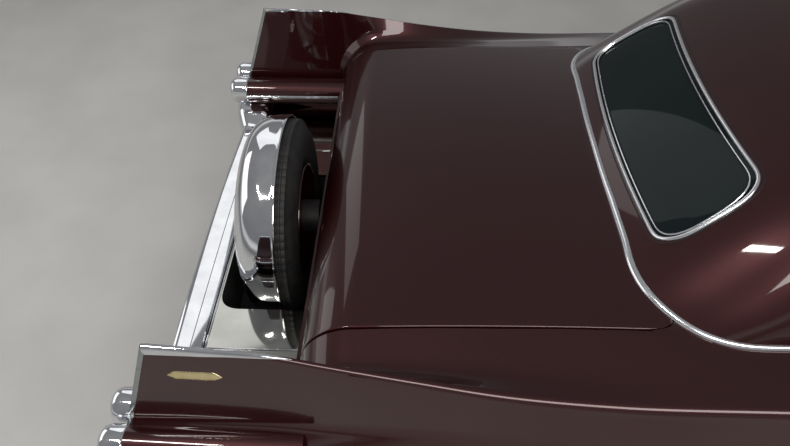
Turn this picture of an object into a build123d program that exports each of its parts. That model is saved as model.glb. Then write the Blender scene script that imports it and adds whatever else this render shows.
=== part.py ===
from build123d import *
import os
import math

"""Two-door hardtop of the late 1950s with tail fins, twin round tail pods and an upright spare wheel.

Millimetres. +X is the front, +Y the car's left side, +Z up. The origin is on the ground, in the
middle of the car's length and width.
"""

# Driving dimensions
LENGTH = 5620.0            # pod ends to the front bumper's bullets
HEIGHT = 1500.0            # ground to the roof's highest point
WHEELBASE = 3290.0
REAR_OVERHANG = 1440.0     # rear axle to the pod ends
TRACK = 1550.0             # tyre middle to tyre middle
TYRE_R = 365.0
TYRE_W = 215.0
RIM_R = 196.0              # bead seat of a 15 inch wheel
SKIN = 22.0                # folded edge thickness of an outer panel
SHUT_GAP = 6.0             # clear gap round a hinged panel
SHUT_HALF = 6.0            # half of the wider gap at a hinge line
SEAT_GAP = 0.3             # clearance where a piece sits on another body

# Places along the car
X_REAR = -LENGTH / 2
X_FRONT = LENGTH / 2
X_REAR_AXLE = X_REAR + REAR_OVERHANG
X_FRONT_AXLE = X_REAR_AXLE + WHEELBASE
WHEEL_Y = TRACK / 2
DOOR_FRONT = 800.0         # hinge line of the doors
DOOR_REAR = -560.0
DOOR_BOTTOM = 366.0
SILL_TOP = 360.0
CABIN_HALF = 760.0         # inner face of the doors
QUARTER_INNER = 720.0      # inner face of the rear quarters
HOOD_REAR = 1112.0
BODY_NOSE = 2560.0
WALL_X = -2295.0           # rear face of the wall ahead of the tray
BELT_Z = 940.0
TRAY_TOP = 555.0
TRAY_REAR = -2638.0
TRAY_HALF = 785.0

# Body side: one row a station, from the nose to the tail wall
# x, sill y, sill z, widest y, valley y, valley z, crest y, crest z, edge radius,
# root y, root z, inner y, inner z
WIDEST_Z = 620.0
SIDE_ROWS = [
    (BODY_NOSE, 830, 330, 905, 900, 780, 880, 900, 40, 760, 890, 640, 872),
    (2250, 900, 300, 965, 958, 780, 930, 928, 35, 800, 918, 660, 905),
    (X_FRONT_AXLE, 930, 280, 985, 977, 790, 948, 938, 32, 820, 928, 675, 920),
    (1000, 950, 260, 1002, 992, 795, 965, 930, 30, 880, 936, 700, 950),
    (0, 955, 260, 1010, 1000, 795, 972, 915, 30, 890, 926, 800, BELT_Z),
    (-1045, 955, 260, 1014, 1002, 795, 980, 916, 28, 900, 926, 800, 942),
    (-1460, 955, 265, 1015, 996, 790, 972, 912, 24, 890, 916, 757, 952),
    (-1740, 953, 275, 1015, 982, 782, 960, 930, 20, 880, 912, 757, 949),
    (-1940, 950, 290, 1015, 965, 772, 946, 958, 16, 875, 905, 757, 944),
    (-2180, 945, 320, 1014, 948, 758, 932, 1000, 12, 882, 890, 757, 925),
    (WALL_X, 940, 335, 1013, 938, 748, 924, 1020, 11, 885, 860, 757, 885),
]
# Tail behind the wall, same columns
TAIL_ROWS = [
    (WALL_X, 940, 335, 1013, 938, 748, 924, 1020, 11, 888, 662, 800, 655),
    (-2500, 925, 360, 1005, 930, 740, 917, 1034, 11, 888, 662, 800, 655),
    (-2745, 905, 395, 995, 926, 732, 910, 1046, 11, 888, 662, 800, 655),
]
TAIL_INNER = 785.0
SIDE_INNER = 600.0
FIN_TIP = (-2622.0, 1040.0)      # X and Z of the fin's upper rear corner
FIN_FOOT = (-2735.0, 702.0)
TUBE_R = 57.0
POD_R = 55.0
POD_START = -2736.0
TUBES = [(841.0, 671.0, X_REAR), (966.0, 679.0, X_REAR + 7.0)]   # axis Y, axis Z, pod end X
TAIL_CUT_X = -2560.0             # the bumper ends cover what lies behind
TAIL_CUT_Z = 615.0


def at_x(x):
    """Plane across the car: its own x is the car's Y, its own y is Z."""
    return Plane(origin=(x, 0, 0), x_dir=(0, 1, 0), z_dir=(1, 0, 0))


def box(x0, x1, y0, y1, z0, z1):
    """Box between two corners."""
    solid = Box(abs(x1 - x0), abs(y1 - y0), abs(z1 - z0))
    return Pos((x0 + x1) / 2, (y0 + y1) / 2, (z0 + z1) / 2) * solid


def both_sides(solid):
    """A left-hand piece and its mirror image as one node."""
    return Compound(children=[*solid.solids(), *mirror(solid, about=Plane.XZ).solids()])


def side_face(row, inner_y, offset=0.0):
    """Cross-section of the body side; offset moves the outer line inwards."""
    x, sill_y, sill_z, wide_y, valley_y, valley_z, crest_y, crest_z, edge, root_y, root_z, in_y, in_z = row
    drop = 0.0
    low = sill_z
    if offset:
        drop = offset
        low = sill_z - 80
    shoulder = (crest_y - offset, crest_z - edge - drop)
    crest = (crest_y - edge - offset, crest_z - drop)
    bend = (crest_y - offset - edge * 0.293, crest_z - drop - edge * 0.293)
    root = (root_y - offset * 0.3, root_z - drop)
    ledge = (in_y, in_z - drop)
    foot = (sill_y - offset, low)
    outline = [
        Line((inner_y, low), foot),
        ThreePointArc(foot, (wide_y - offset, WIDEST_Z), (valley_y - offset, valley_z)),
        Line((valley_y - offset, valley_z), shoulder),
        ThreePointArc(shoulder, bend, crest),
        Line(crest, root),
        Line(root, ledge),
        Line(ledge, (inner_y, in_z - drop)),
        Line((inner_y, in_z - drop), (inner_y, low)),
    ]
    return at_x(x) * make_face(Wire(outline))


def side_loft(rows, inner_y, offset=0.0):
    """Solid body side through a run of stations."""
    return loft([side_face(row, inner_y, offset) for row in rows])


def cylinder_x(x0, x1, y, z, radius):
    """Cylinder along the car."""
    return Pos((x0 + x1) / 2, y, z) * (Rot(0, 90, 0) * Cylinder(radius, abs(x1 - x0)))


def cylinder_y(x, y0, y1, z, radius):
    """Cylinder across the car."""
    return Pos(x, (y0 + y1) / 2, z) * (Rot(90, 0, 0) * Cylinder(radius, abs(y1 - y0)))


def cylinder_z(x, y, z0, z1, radius):
    """Upright cylinder."""
    return Pos(x, y, (z0 + z1) / 2) * Cylinder(radius, abs(z1 - z0))


# Wheel arches
ARCH_R = 425.0
LOW_ARCH_R = 405.0               # the opening in the rear skin is smaller and lower than the pocket
LOW_ARCH_Z = 310.0
SKIN_INNER_Y = 925.0
HOUSE_R = 440.0                  # inside radius of the inner wheelhouse
HOUSE_SHEET = 15.0
REAR_HOUSE_Y = 600.0
FRONT_HOUSE_Y = 478.0
APRON_Y = 640.0                  # inner side of the engine bay's side walls
APRON_SHEET = 18.0
REAR_HOUSE_LOW = 430.0           # the rear axle passes below this height
FRONT_HOUSE_LOW = 600.0          # the control arms pass below this height

# Hinged panels
LID_HALF = 757.0
LID_SHEET = 26.0
LID_REAR = -2270.0
LID_ROLL = 140.0
SHOULDER_X = -2113.0             # where the deck starts to roll down
SHOULDER_Z = 762.0
SHOULDER_R = 163.0
LID_LOW = 760.0                   # lower edge of its rolled rear face
LID_FRONT_MID = -1370.0
LID_FRONT_SIDE = -1300.0
LID_HINGE = (-1268.0, 978.0)     # X and Z of the decklid's pivots
LID_HINGE_Y = 330.0
ARM_SLOT_HALF = 13.0             # the lid's arms pass through slots in the greenhouse's foot
ARM_SLOT_TOP = 993.0
HOOD_HINGE_Y = 350.0
SIDE_UNDER_ROOF = 815.0          # inside this width the door keeps below the greenhouse
DOOR_HINGE_Z = [540.0, 700.0]
DOOR_HINGE_Y = 1001.0
HOOD_HINGE_Z = 985.0
HOOD_SWING = 20.0                # the cowl stops this far behind the hood, which tips back as it opens
HINGE_R = 4.5
HINGE_HALF = 20.0                # half length of a hinge's middle barrel
HINGE_LUG = 14.0                 # length of each outer barrel


def arch(x_axle, inner_y, outer_y=1200):
    """Round pocket that leaves room for a wheel."""
    return cylinder_y(x_axle, inner_y, outer_y, TYRE_R, ARCH_R)


def wheelhouse(x_axle, inner_y, outer_y, low):
    """Inner wheelhouse: a round tub over the wheel, open towards the wheel and at its foot."""
    tub = cylinder_y(x_axle, inner_y, outer_y, TYRE_R, HOUSE_R + HOUSE_SHEET)
    hollow = cylinder_y(x_axle, inner_y + HOUSE_SHEET, outer_y + 1, TYRE_R, HOUSE_R)
    keep = box(x_axle - 600, x_axle + 600, 0, 1100, low, 1000)
    return (tub - hollow) & keep


# Body side, split into fender, door, sill and quarter
side_block = side_loft(SIDE_ROWS, SIDE_INNER)
side_cabin = side_block & box(X_REAR, X_FRONT, CABIN_HALF, 1100, 0, 1200)
side_rear = side_block & box(X_REAR, X_FRONT, QUARTER_INNER, 1100, 0, 1200)


def make_fender():
    """Left front fender: hollow skin with an inner apron and a wheelhouse."""
    block = side_block & box(DOOR_FRONT + 2 * SHUT_HALF, BODY_NOSE, 0, 1100, 0, 1200)
    rows = [row for row in SIDE_ROWS if row[0] > 900]
    core = side_loft(rows, SIDE_INNER, SKIN)
    core = core & box(1020, BODY_NOSE - SKIN, 0, 1100, 0, 1200)
    block = block - (core & box(0, X_FRONT, APRON_Y + APRON_SHEET, 1100, 0, 1200))
    block = block - box(0, X_FRONT, 0, APRON_Y, 0, 1200)
    block = block - box(0, 1018, 0, CABIN_HALF, 0, 1200)
    block = block - arch(X_FRONT_AXLE, 470)
    house = wheelhouse(X_FRONT_AXLE, FRONT_HOUSE_Y, APRON_Y + APRON_SHEET, FRONT_HOUSE_LOW)
    return block + house


def make_quarter():
    """Left rear quarter with its fin, pod tubes and wheelhouse."""
    block = side_rear & box(WALL_X, DOOR_REAR - SHUT_GAP, 0, 1100, 0, 1200)
    house = wheelhouse(X_REAR_AXLE, REAR_HOUSE_Y, QUARTER_INNER + 10, REAR_HOUSE_LOW)
    block = block - arch(X_REAR_AXLE, REAR_HOUSE_Y + HOUSE_SHEET, SKIN_INNER_Y)
    block = block - cylinder_y(X_REAR_AXLE, SKIN_INNER_Y - 1, 1200, LOW_ARCH_Z, LOW_ARCH_R)
    block = block + house
    tail = side_loft(TAIL_ROWS, TAIL_INNER)
    rake = Polyline(FIN_TIP, FIN_FOOT, (FIN_FOOT[0], 300), (-3000, 300), (-3000, 1300), (FIN_TIP[0], 1300),
                    FIN_TIP)
    behind = extrude(Plane.XZ * make_face(rake), amount=1100, dir=(0, 1, 0))
    low_rear = box(-3000, TAIL_CUT_X, 0, 1100, 0, TAIL_CUT_Z)
    tail = tail - behind - low_rear
    block = block + tail
    for axis_y, axis_z, _ in TUBES:
        block = block + cylinder_x(POD_START, WALL_X + 60, axis_y, axis_z, TUBE_R)
    return block


def make_door():
    """Left door: the whole thickness of the side between the shut lines."""
    slab = side_cabin & box(DOOR_REAR, DOOR_FRONT, 0, 1100, DOOR_BOTTOM, 1200)
    wedge = Polyline((DOOR_REAR, 1100), (DOOR_REAR, 1012), (DOOR_REAR + 60, CABIN_HALF - 1),
                     (DOOR_REAR - 10, CABIN_HALF - 1), (DOOR_REAR - 10, 1100), (DOOR_REAR, 1100))
    slab = slab - box(DOOR_REAR - 1, DOOR_FRONT + 1, 0, SIDE_UNDER_ROOF, BELT_Z - 10, 1200)
    return slab - Pos(0, 0, 200) * extrude(make_face(wedge), amount=1000, dir=(0, 0, 1))


fender_left = make_fender()
quarter_left = make_quarter()
door_left = make_door()
sill_left = side_cabin & box(DOOR_REAR - SHUT_GAP, DOOR_FRONT + 2 * SHUT_HALF, 0, 1100, 0, SILL_TOP)

# Greenhouse: z, front x, side y, rear x, front corner radius, rear corner radius
GREENHOUSE_ROWS = [
    (925, 1035, 803, -1405, 380, 300),
    (1043, 955, 775, -1288, 375, 290),
    (1235, 735, 705, -1050, 360, 270),
    (1380, 500, 625, -800, 330, 260),
    (1455, 300, 545, -620, 300, 240),
    (HEIGHT, -60, 330, -380, 120, 120),
]
ROOF_SHEET = 34.0
GLASS_INSET = 10.0
GLASS_SHEET = 6.0
REAR_GLASS_LOW = (-1283.0, 1043.0, 542.0)    # X, Z and half width of the rear window's lower edge
REAR_GLASS_TOP = (-1044.0, 1235.0, 503.0)
REAR_GLASS_CORNER = 100.0
SIDE_GLASS = [(705, 930), (-985, 930), (-800, 1310), (-730, 1345), (345, 1370)]    # X and Z
SCREEN = [(-765, 962), (765, 962), (590, 1385), (-590, 1385)]                      # Y and Z


def outline_at(row, inset):
    """Horizontal outline of the greenhouse at one height."""
    z, front_x, side_y, rear_x, front_r, rear_r = row
    drop = 0.0 if z < 1000 else inset * 0.9 * (z - 1000) / (HEIGHT - 1000)
    front_x = front_x - inset * 1.15
    rear_x = rear_x + inset * 1.15
    side_y = side_y - inset
    middle = (front_x + rear_x) / 2
    plan = Pos(middle, 0) * Rectangle(front_x - rear_x, 2 * side_y)
    front = plan.vertices().filter_by_position(Axis.X, middle, front_x + 1)
    plan = fillet(front, front_r - inset * 0.9)
    rear = [v for v in plan.vertices() if v.X < rear_x + 1]
    plan = fillet(rear, rear_r - inset * 0.9)
    return Pos(0, 0, z - drop) * plan.face()


def greenhouse(inset):
    """Closed greenhouse volume, inset from the outer surface."""
    return loft([outline_at(row, inset) for row in GREENHOUSE_ROWS])


def prism_y(points, y0, y1):
    """Side-view polygon (X, Z) carried across the car."""
    wire = Polyline(*points, points[0])
    face = Plane((0, y0, 0), x_dir=(1, 0, 0), z_dir=(0, -1, 0)) * make_face(wire)
    return extrude(face, amount=y1 - y0, dir=(0, 1, 0))


def rear_glass_cut(grow):
    """Prism through the rear window along its own normal."""
    low_x, low_z, low_half = REAR_GLASS_LOW
    top_x, top_z, top_half = REAR_GLASS_TOP
    run = math.hypot(low_x - top_x, low_z - top_z)
    middle = ((low_x + top_x) / 2, 0, (low_z + top_z) / 2)
    plane = Plane(origin=middle, x_dir=(0, 1, 0), z_dir=(low_z - top_z, 0, top_x - low_x))
    corners = [(-low_half, run / 2), (low_half, run / 2), (top_half, -run / 2), (-top_half, -run / 2)]
    pane = make_face(Polyline(*corners, corners[0]))
    pane = fillet(pane.vertices(), REAR_GLASS_CORNER)
    if grow:
        pane = offset(pane, grow)
    return extrude(plane * pane.face(), amount=160, both=True)


def screen_cut():
    """Prism through the windscreen."""
    face = make_face(Polyline(*SCREEN, SCREEN[0]))
    face = fillet(face.vertices(), 60)
    return extrude(at_x(430) * face.face(), amount=800, dir=(1, 0, 0))


# Decklid outline and surface
LID_ROWS = [(-1280, 1004, 950), (-1600, 996, 951), (-1950, 975, 943), (LID_REAR - 20, 950, 918)]   # x, middle z, edge z


def lid_plan(grow, z0, z1):
    """Plan prism of the decklid."""
    half = LID_HALF - SHUT_GAP + grow
    rear = LID_REAR - grow
    front_side = LID_FRONT_SIDE + grow
    front_mid = LID_FRONT_MID + grow
    sides = [
        ThreePointArc((front_side, -half), (front_mid, 0), (front_side, half)),
        Line((front_side, half), (rear, half)),
        Line((rear, half), (rear, -half)),
        Line((rear, -half), (front_side, -half)),
    ]
    face = make_face(Wire(sides))
    return extrude(Pos(0, 0, z0) * face, amount=z1 - z0, dir=(0, 0, 1))


def crowned(rows, half, drop, floor):
    """Solid with a crowned top through rows of x, middle z and edge z."""
    faces = []
    for x, middle_z, edge_z in rows:
        lines = [
            ThreePointArc((-half, edge_z - drop), (0, middle_z - drop), (half, edge_z - drop)),
            Line((half, edge_z - drop), (half, floor)),
            Line((half, floor), (-half, floor)),
            Line((-half, floor), (-half, edge_z - drop)),
        ]
        faces.append(at_x(x) * make_face(Wire(lines)))
    return loft(faces)


def rolled_rear(solid, radius):
    """The solid with its upper rear edge rolled over."""
    edge = [e for e in solid.edges() if e.bounding_box().size.Y > LID_HALF and e.center().X < LID_REAR + 60]
    edge = [e for e in edge if e.center().Z > 850]
    return fillet(edge, radius)


def make_decklid():
    """Trunk lid: crowned top rolled down at the rear, with hems along its sides."""
    top = crowned(LID_ROWS, LID_HALF + 20, 0, 690)
    rolled = rolled_rear(top & lid_plan(0, 690, 1100), LID_ROLL)
    under = Pos(0, 0, -LID_SHEET) * crowned(LID_ROWS, LID_HALF + 20, 0, 600)
    inner = rolled_rear(under & lid_plan(-LID_SHEET, 500, 1100), LID_ROLL - LID_SHEET)
    shell = rolled - inner
    keep = box(-2400, LID_REAR + LID_ROLL + 20, -900, 900, LID_LOW, 1100) + box(-2400, -1200, -900, 900, 915, 1100)
    return shell & keep


lid_pocket_low = box(-2400, LID_REAR + LID_ROLL + 30, -LID_HALF, LID_HALF, LID_LOW - 8, 1100)
lid_pocket = lid_plan(SHUT_GAP, 890, 1100) + lid_pocket_low

# Soft shoulder where the deck turns down to the wall, shared by lid and quarters
shoulder_line = Wire([
    ThreePointArc((SHOULDER_X, SHOULDER_Z + SHOULDER_R), (SHOULDER_X - SHOULDER_R * 0.7071,
                  SHOULDER_Z + SHOULDER_R * 0.7071), (SHOULDER_X - SHOULDER_R, SHOULDER_Z)),
    Line((SHOULDER_X - SHOULDER_R, SHOULDER_Z), (WALL_X, 700)),
    Line((WALL_X, 700), (WALL_X - 10, 700)),
    Line((WALL_X - 10, 700), (WALL_X - 10, 1100)),
    Line((WALL_X - 10, 1100), (SHOULDER_X, 1100)),
    Line((SHOULDER_X, 1100), (SHOULDER_X, SHOULDER_Z + SHOULDER_R)),
])
shoulder_face = Plane((0, 600, 0), x_dir=(1, 0, 0), z_dir=(0, -1, 0)) * make_face(shoulder_line)
shoulder_cut = extrude(shoulder_face, amount=285, dir=(0, 1, 0))

# Hood: x, half width, edge z, middle z
HOOD_ROWS = [
    (HOOD_REAR, 700, 949, 1004),
    (X_FRONT_AXLE, 675, 920, 985),
    (2250, 660, 905, 966),
    (2590, 636, 868, 915),
]
HOOD_SHEET = 26.0
HOOD_NOSE = 2590.0
GRILLE_LOW = 455.0
GRILLE_TOP = 812.0
GRILLE_HALF = 640.0
GRILLE_X = 2530.0
LAMP_Y = 772.0
LAMP_Z = 775.0
LAMP_R = 92.0


def hood_loft(grow, drop, floor_drop):
    """Crowned hood volume."""
    faces = []
    for x, half, edge_z, middle_z in HOOD_ROWS:
        w = half - SHUT_GAP + grow
        low = edge_z - floor_drop
        lines = [
            ThreePointArc((-w, edge_z - drop), (0, middle_z - drop), (w, edge_z - drop)),
            Line((w, edge_z - drop), (w, low)),
            Line((w, low), (-w, low)),
            Line((-w, low), (-w, edge_z - drop)),
        ]
        faces.append(at_x(x) * make_face(Wire(lines)))
    return loft(faces)


hood = hood_loft(0, 0, 45) - hood_loft(-HOOD_SHEET, HOOD_SHEET, 80)
hood = hood & box(HOOD_REAR, HOOD_NOSE, -800, 800, 700, 1100)
hood_front = box(HOOD_NOSE - HOOD_SHEET, HOOD_NOSE, -600, 600, 845, 880)
hood = hood + hood_front
hood_pocket = box(HOOD_REAR - HOOD_SWING, BODY_NOSE + 1, -640, 640, 700, 1200)
hood_pocket = hood_pocket + hood_loft(SHUT_GAP, -100, 52)

decklid = make_decklid()
fender_left = fender_left - hood_pocket
quarter_left = quarter_left - lid_pocket - shoulder_cut

# Greenhouse sheet metal and glass
shell = greenhouse(0) - greenhouse(ROOF_SHEET)
glass_shell = greenhouse(GLASS_INSET) - greenhouse(GLASS_INSET + GLASS_SHEET)
side_cut = prism_y(SIDE_GLASS, -1000, 1000)
side_zone = side_block + mirror(side_block, about=Plane.XZ)
scuttle_low = 945.0
roof = shell - rear_glass_cut(0) - side_cut - screen_cut() - lid_pocket
scuttle = crowned([(870, 1010, 951), (HOOD_REAR - HOOD_SWING, 1004, 949)], 700, 0, 925)
roof = roof - side_zone - scuttle - box(600, 1200, -900, 900, 800, scuttle_low)
roof = roof - box(-1500, -1000, -QUARTER_INNER, QUARTER_INNER, 800, 945)
for side in (-1, 1):
    arm_y = side * LID_HINGE_Y
    roof = roof - box(-1420, -1290, arm_y - ARM_SLOT_HALF, arm_y + ARM_SLOT_HALF, 900, ARM_SLOT_TOP)
windshield = (glass_shell & screen_cut() & box(400, 1100, -800, 800, scuttle_low, 1400)) - scuttle
rear_window = glass_shell & rear_glass_cut(0)
door_glass_zone = [(730, 880), (-548, 880), (-548, 1341), (340, 1361), (352, 1345)]
door_glass = glass_shell & prism_y(door_glass_zone, 0, 1000)
quarter_zone = prism_y(SIDE_GLASS, 0, 1000) & box(-1100, -562, 0, 1000, 945, 1400)
quarter_glass = glass_shell & quarter_zone

# Cabin floor, sills and bulkheads
FLOOR_Z = 345.0
FLOOR_SHEET = 15.0
TRUNK_Z = 500.0
floor_line = [
    (1000, FLOOR_Z), (1000, FLOOR_Z + 15), (-985, FLOOR_Z + 15), (-1040, 640), (-1900, 640), (-1960, 515),
    (WALL_X + 30, 515), (WALL_X + 30, 500), (-1945, 500), (-1885, 625), (-1056, 625), (-1000, FLOOR_Z),
]
floor_front = prism_y(floor_line, -CABIN_HALF, CABIN_HALF) & box(DOOR_REAR - SHUT_GAP, 1000, -1100, 1100, 300, 700)
floor_foot = prism_y(floor_line, -QUARTER_INNER, QUARTER_INNER) & box(-985, DOOR_REAR, -1100, 1100, 300, 700)
floor_rear = prism_y(floor_line, -REAR_HOUSE_Y, REAR_HOUSE_Y) & box(-1965, -985, -1100, 1100, 300, 700)
floor_trunk = prism_y(floor_line, -QUARTER_INNER, QUARTER_INNER) & box(-2400, -1965, -1100, 1100, 300, 700)
tunnel = box(-985, 1000, -120, 120, FLOOR_Z + 15, 470) - box(-990, 1001, -100, 100, FLOOR_Z - 1, 452)
floor_pan = floor_front + floor_foot + floor_rear + floor_trunk
floor_pan = floor_pan - box(-1100, 1001, -100, 100, FLOOR_Z - 50, 452) + tunnel
sills = both_sides(sill_left)

fender_left = fender_left - scuttle
firewall = box(1000, 1018, -CABIN_HALF, CABIN_HALF, FLOOR_Z, scuttle_low)
cowl = firewall - box(990, 1030, -100, 100, 300, 452) + scuttle + box(812, 1018, -CABIN_HALF, CABIN_HALF, 925, 945)
for y in (-HOOD_HINGE_Y, HOOD_HINGE_Y):
    for lug in (-1, 1):
        near = y + lug * (HINGE_HALF + SEAT_GAP)
        far = near + lug * HINGE_LUG
        cowl = cowl + cylinder_y(HOOD_REAR - SHUT_HALF, near, far, HOOD_HINGE_Z, HINGE_R)
        cowl = cowl + box(HOOD_REAR - HOOD_SWING - 4, HOOD_REAR - SHUT_HALF, near, far, HOOD_HINGE_Z - 3, HOOD_HINGE_Z)
parcel_shelf = box(-1245, -1000, -QUARTER_INNER, QUARTER_INNER, 930, 945)
seat_bulkhead = box(-1000, -985, -QUARTER_INNER, QUARTER_INNER, 645, 945)
parcel_shelf = parcel_shelf + seat_bulkhead
for side in (-1, 1):
    plate_y = side * (LID_HINGE_Y + 16)
    parcel_shelf = parcel_shelf + box(-1284, -1236, plate_y, plate_y + side * 6, 930, 990)
    parcel_shelf = parcel_shelf + cylinder_y(LID_HINGE[0], side * (LID_HINGE_Y - 12), plate_y, LID_HINGE[1], 6)

rear_panel = box(WALL_X, WALL_X + 30, -QUARTER_INNER, QUARTER_INNER, 490, LID_LOW - 8)
tray_left = box(TRAY_REAR, WALL_X, 372, TRAY_HALF, TRAY_TOP - 10, TRAY_TOP)
tray = both_sides(tray_left)

# Ladder frame
RAIL_Y0 = 380.0
RAIL_Y1 = 460.0
HITCH_X = -2570.0                # four bolt holes in the rail ends, for a tow hitch
HITCH_PITCH = 60.0
HITCH_HOLE_R = 6.5
rail_line = [
    (2560, 325), (2560, 395), (2300, 395), (2180, 500), (1650, 500), (1450, FLOOR_Z), (-1010, FLOOR_Z),
    (-1150, 605), (-1640, 605), (-1880, 490), (-2620, 490), (-2620, 400), (-1860, 400), (-1660, 520),
    (-1200, 520), (-1060, 225), (1430, 225), (1630, 400), (2140, 400), (2260, 325),
]
rail_left = prism_y(rail_line, RAIL_Y0, RAIL_Y1)
chassis_frame = rail_left + mirror(rail_left, about=Plane.XZ)
for cross_x, z0, z1 in [(2440, 330, 390), (1300, 235, 335), (200, 235, 335), (-800, 228, 288), (-2000, 410, 480)]:
    chassis_frame = chassis_frame + box(cross_x - 50, cross_x + 50, -RAIL_Y0 - 1, RAIL_Y0 + 1, z0, z1)

for hole_x in (HITCH_X - HITCH_PITCH / 2, HITCH_X + HITCH_PITCH / 2):
    for side in (-1, 1):
        chassis_frame = chassis_frame - cylinder_z(hole_x, side * (RAIL_Y0 + RAIL_Y1) / 2, 390, 500, HITCH_HOLE_R)

# Front suspension
KING_Y = 680.0
KNUCKLE_LOW = 275.0
KNUCKLE_TOP = 495.0
front_suspension = box(X_FRONT_AXLE - 60, X_FRONT_AXLE + 60, -RAIL_Y0, RAIL_Y0, 240, 330)
front_suspension = front_suspension + box(X_FRONT_AXLE - 60, X_FRONT_AXLE + 60, -475, 475, 330, 400)
for side in (-1, 1):
    for z0, z1, reach in [(245, KNUCKLE_LOW - SEAT_GAP, 380), (KNUCKLE_TOP + SEAT_GAP, 525, 460)]:
        arm_line = [(X_FRONT_AXLE - 120, side * reach), (X_FRONT_AXLE + 120, side * reach),
                    (X_FRONT_AXLE + 26, side * KING_Y), (X_FRONT_AXLE - 26, side * KING_Y)]
        arm_face = Pos(0, 0, z0) * make_face(Polyline(*arm_line, arm_line[0]))
        arm = extrude(arm_face, amount=z1 - z0, dir=(0, 0, 1))
        arm = arm + cylinder_z(X_FRONT_AXLE, side * KING_Y, z0, z1, 26)
        front_suspension = front_suspension + arm
    post = box(X_FRONT_AXLE - 60, X_FRONT_AXLE + 60, side * 440, side * 475, 400, 525)
    post = post - box(X_FRONT_AXLE - 70, X_FRONT_AXLE + 70, -RAIL_Y1, RAIL_Y1, 390, 500)
    front_suspension = front_suspension + post

# Wheels
HUB_R = 20.0
SPRING_Y = 500.0
SHAFT_GAP = 0.3


def make_tyre():
    """Tyre about its own axis, which runs along Y."""
    half = TYRE_W / 2
    lines = [
        Line((RIM_R, -72), (RIM_R + 40, -half + 6)),
        ThreePointArc((RIM_R + 40, -half + 6), (RIM_R + 85, -half), (TYRE_R - 40, -half + 6)),
        ThreePointArc((TYRE_R - 40, -half + 6), (TYRE_R - 14, -half + 18), (TYRE_R - 4, -half + 45)),
        ThreePointArc((TYRE_R - 4, -half + 45), (TYRE_R, 0), (TYRE_R - 4, half - 45)),
        ThreePointArc((TYRE_R - 4, half - 45), (TYRE_R - 14, half - 18), (TYRE_R - 40, half - 6)),
        ThreePointArc((TYRE_R - 40, half - 6), (RIM_R + 85, half), (RIM_R + 40, half - 6)),
        Line((RIM_R + 40, half - 6), (RIM_R, 72)),
        Line((RIM_R, 72), (RIM_R, -72)),
    ]
    return revolve(Plane.XY * make_face(Wire(lines)), axis=Axis.Y)


def make_rim(bore):
    """Pressed steel wheel with its domed cover; the outer side is +Y."""
    outline = [(bore, -20), (60, -20), (120, -5), (150, -60), (RIM_R - 22, -72), (RIM_R - 1, -84), (RIM_R, -84),
               (RIM_R, 84), (RIM_R - 8, 84), (RIM_R - 24, 66), (150, 40), (95, 46), (60, 62), (bore, 66)]
    return revolve(Plane.XY * make_face(Polyline(*outline, outline[0])), axis=Axis.Y)


tyre = make_tyre()
rim = make_rim(HUB_R + SHAFT_GAP)
cap = revolve(Plane.XY * make_face(Polyline((0, 66), (0, 96), (40, 88), (58, 63), (0, 66))), axis=Axis.Y)
rim = rim + cap

knuckle_left = box(X_FRONT_AXLE - 22, X_FRONT_AXLE + 22, KING_Y - 22, KING_Y + 22, KNUCKLE_LOW, KNUCKLE_TOP)
knuckle_left = knuckle_left + cylinder_y(X_FRONT_AXLE, KING_Y, WHEEL_Y + 60, TYRE_R, HUB_R)
knuckle_left = knuckle_left + cylinder_y(X_FRONT_AXLE, KING_Y + 10, WHEEL_Y - 22, TYRE_R, 55)
knuckle_left = knuckle_left + cylinder_y(X_FRONT_AXLE, KING_Y + 32, KING_Y + 60, TYRE_R, 130)
knuckle_left = knuckle_left + box(X_FRONT_AXLE - 130, X_FRONT_AXLE, KING_Y - 40, KING_Y - 15, 300, 325)

axle_line = cylinder_y(X_REAR_AXLE, -WHEEL_Y + 55, WHEEL_Y - 55, TYRE_R, 42)
rear_axle = axle_line + cylinder_y(X_REAR_AXLE, -WHEEL_Y - 60, WHEEL_Y + 60, TYRE_R, HUB_R)
rear_axle = rear_axle + Pos(X_REAR_AXLE, 0, TYRE_R) * Sphere(140)
for side in (-1, 1):
    rear_axle = rear_axle + cylinder_y(X_REAR_AXLE, side * (WHEEL_Y - 105), side * (WHEEL_Y - 60), TYRE_R, 130)
    rear_axle = rear_axle + cylinder_y(X_REAR_AXLE, side * (WHEEL_Y - 62), side * (WHEEL_Y - 22), TYRE_R, 55)
    leaf_line = Wire([
        ThreePointArc((-2050, 450), (X_REAR_AXLE, 300), (-700, 262)),
        Line((-700, 262), (-700, 236)),
        ThreePointArc((-700, 236), (X_REAR_AXLE, 270), (-2050, 424)),
        Line((-2050, 424), (-2050, 450)),
    ])
    spring_y = side * SPRING_Y
    leaf_face = Plane((0, spring_y - 30, 0), x_dir=(1, 0, 0), z_dir=(0, -1, 0)) * make_face(leaf_line)
    leaf = extrude(leaf_face, amount=60, dir=(0, 1, 0))
    front_eye = cylinder_y(-712, side * RAIL_Y1, side * (SPRING_Y + 30), 252, 22)
    shackle = cylinder_y(-2035, side * RAIL_Y1, side * (SPRING_Y + 30), 437, 22)
    perch = box(X_REAR_AXLE - 60, X_REAR_AXLE + 60, spring_y - 35, spring_y + 35, 260, 335)
    rear_axle = rear_axle + leaf + front_eye + shackle + perch
prop_shaft = cylinder_x(-1260, 60, 0, 345, 36)
rear_axle = rear_axle + prop_shaft

# Spare wheel, upright behind the wall
SPARE_R = 357.0
SPARE_Z = 660.0
SPARE_X0 = -2540.0
SPARE_X1 = -2305.0
spare_mid = (SPARE_X0 + SPARE_X1) / 2
to_spare = Pos(spare_mid, 0, SPARE_Z) * Rot(0, 0, 90)


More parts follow.
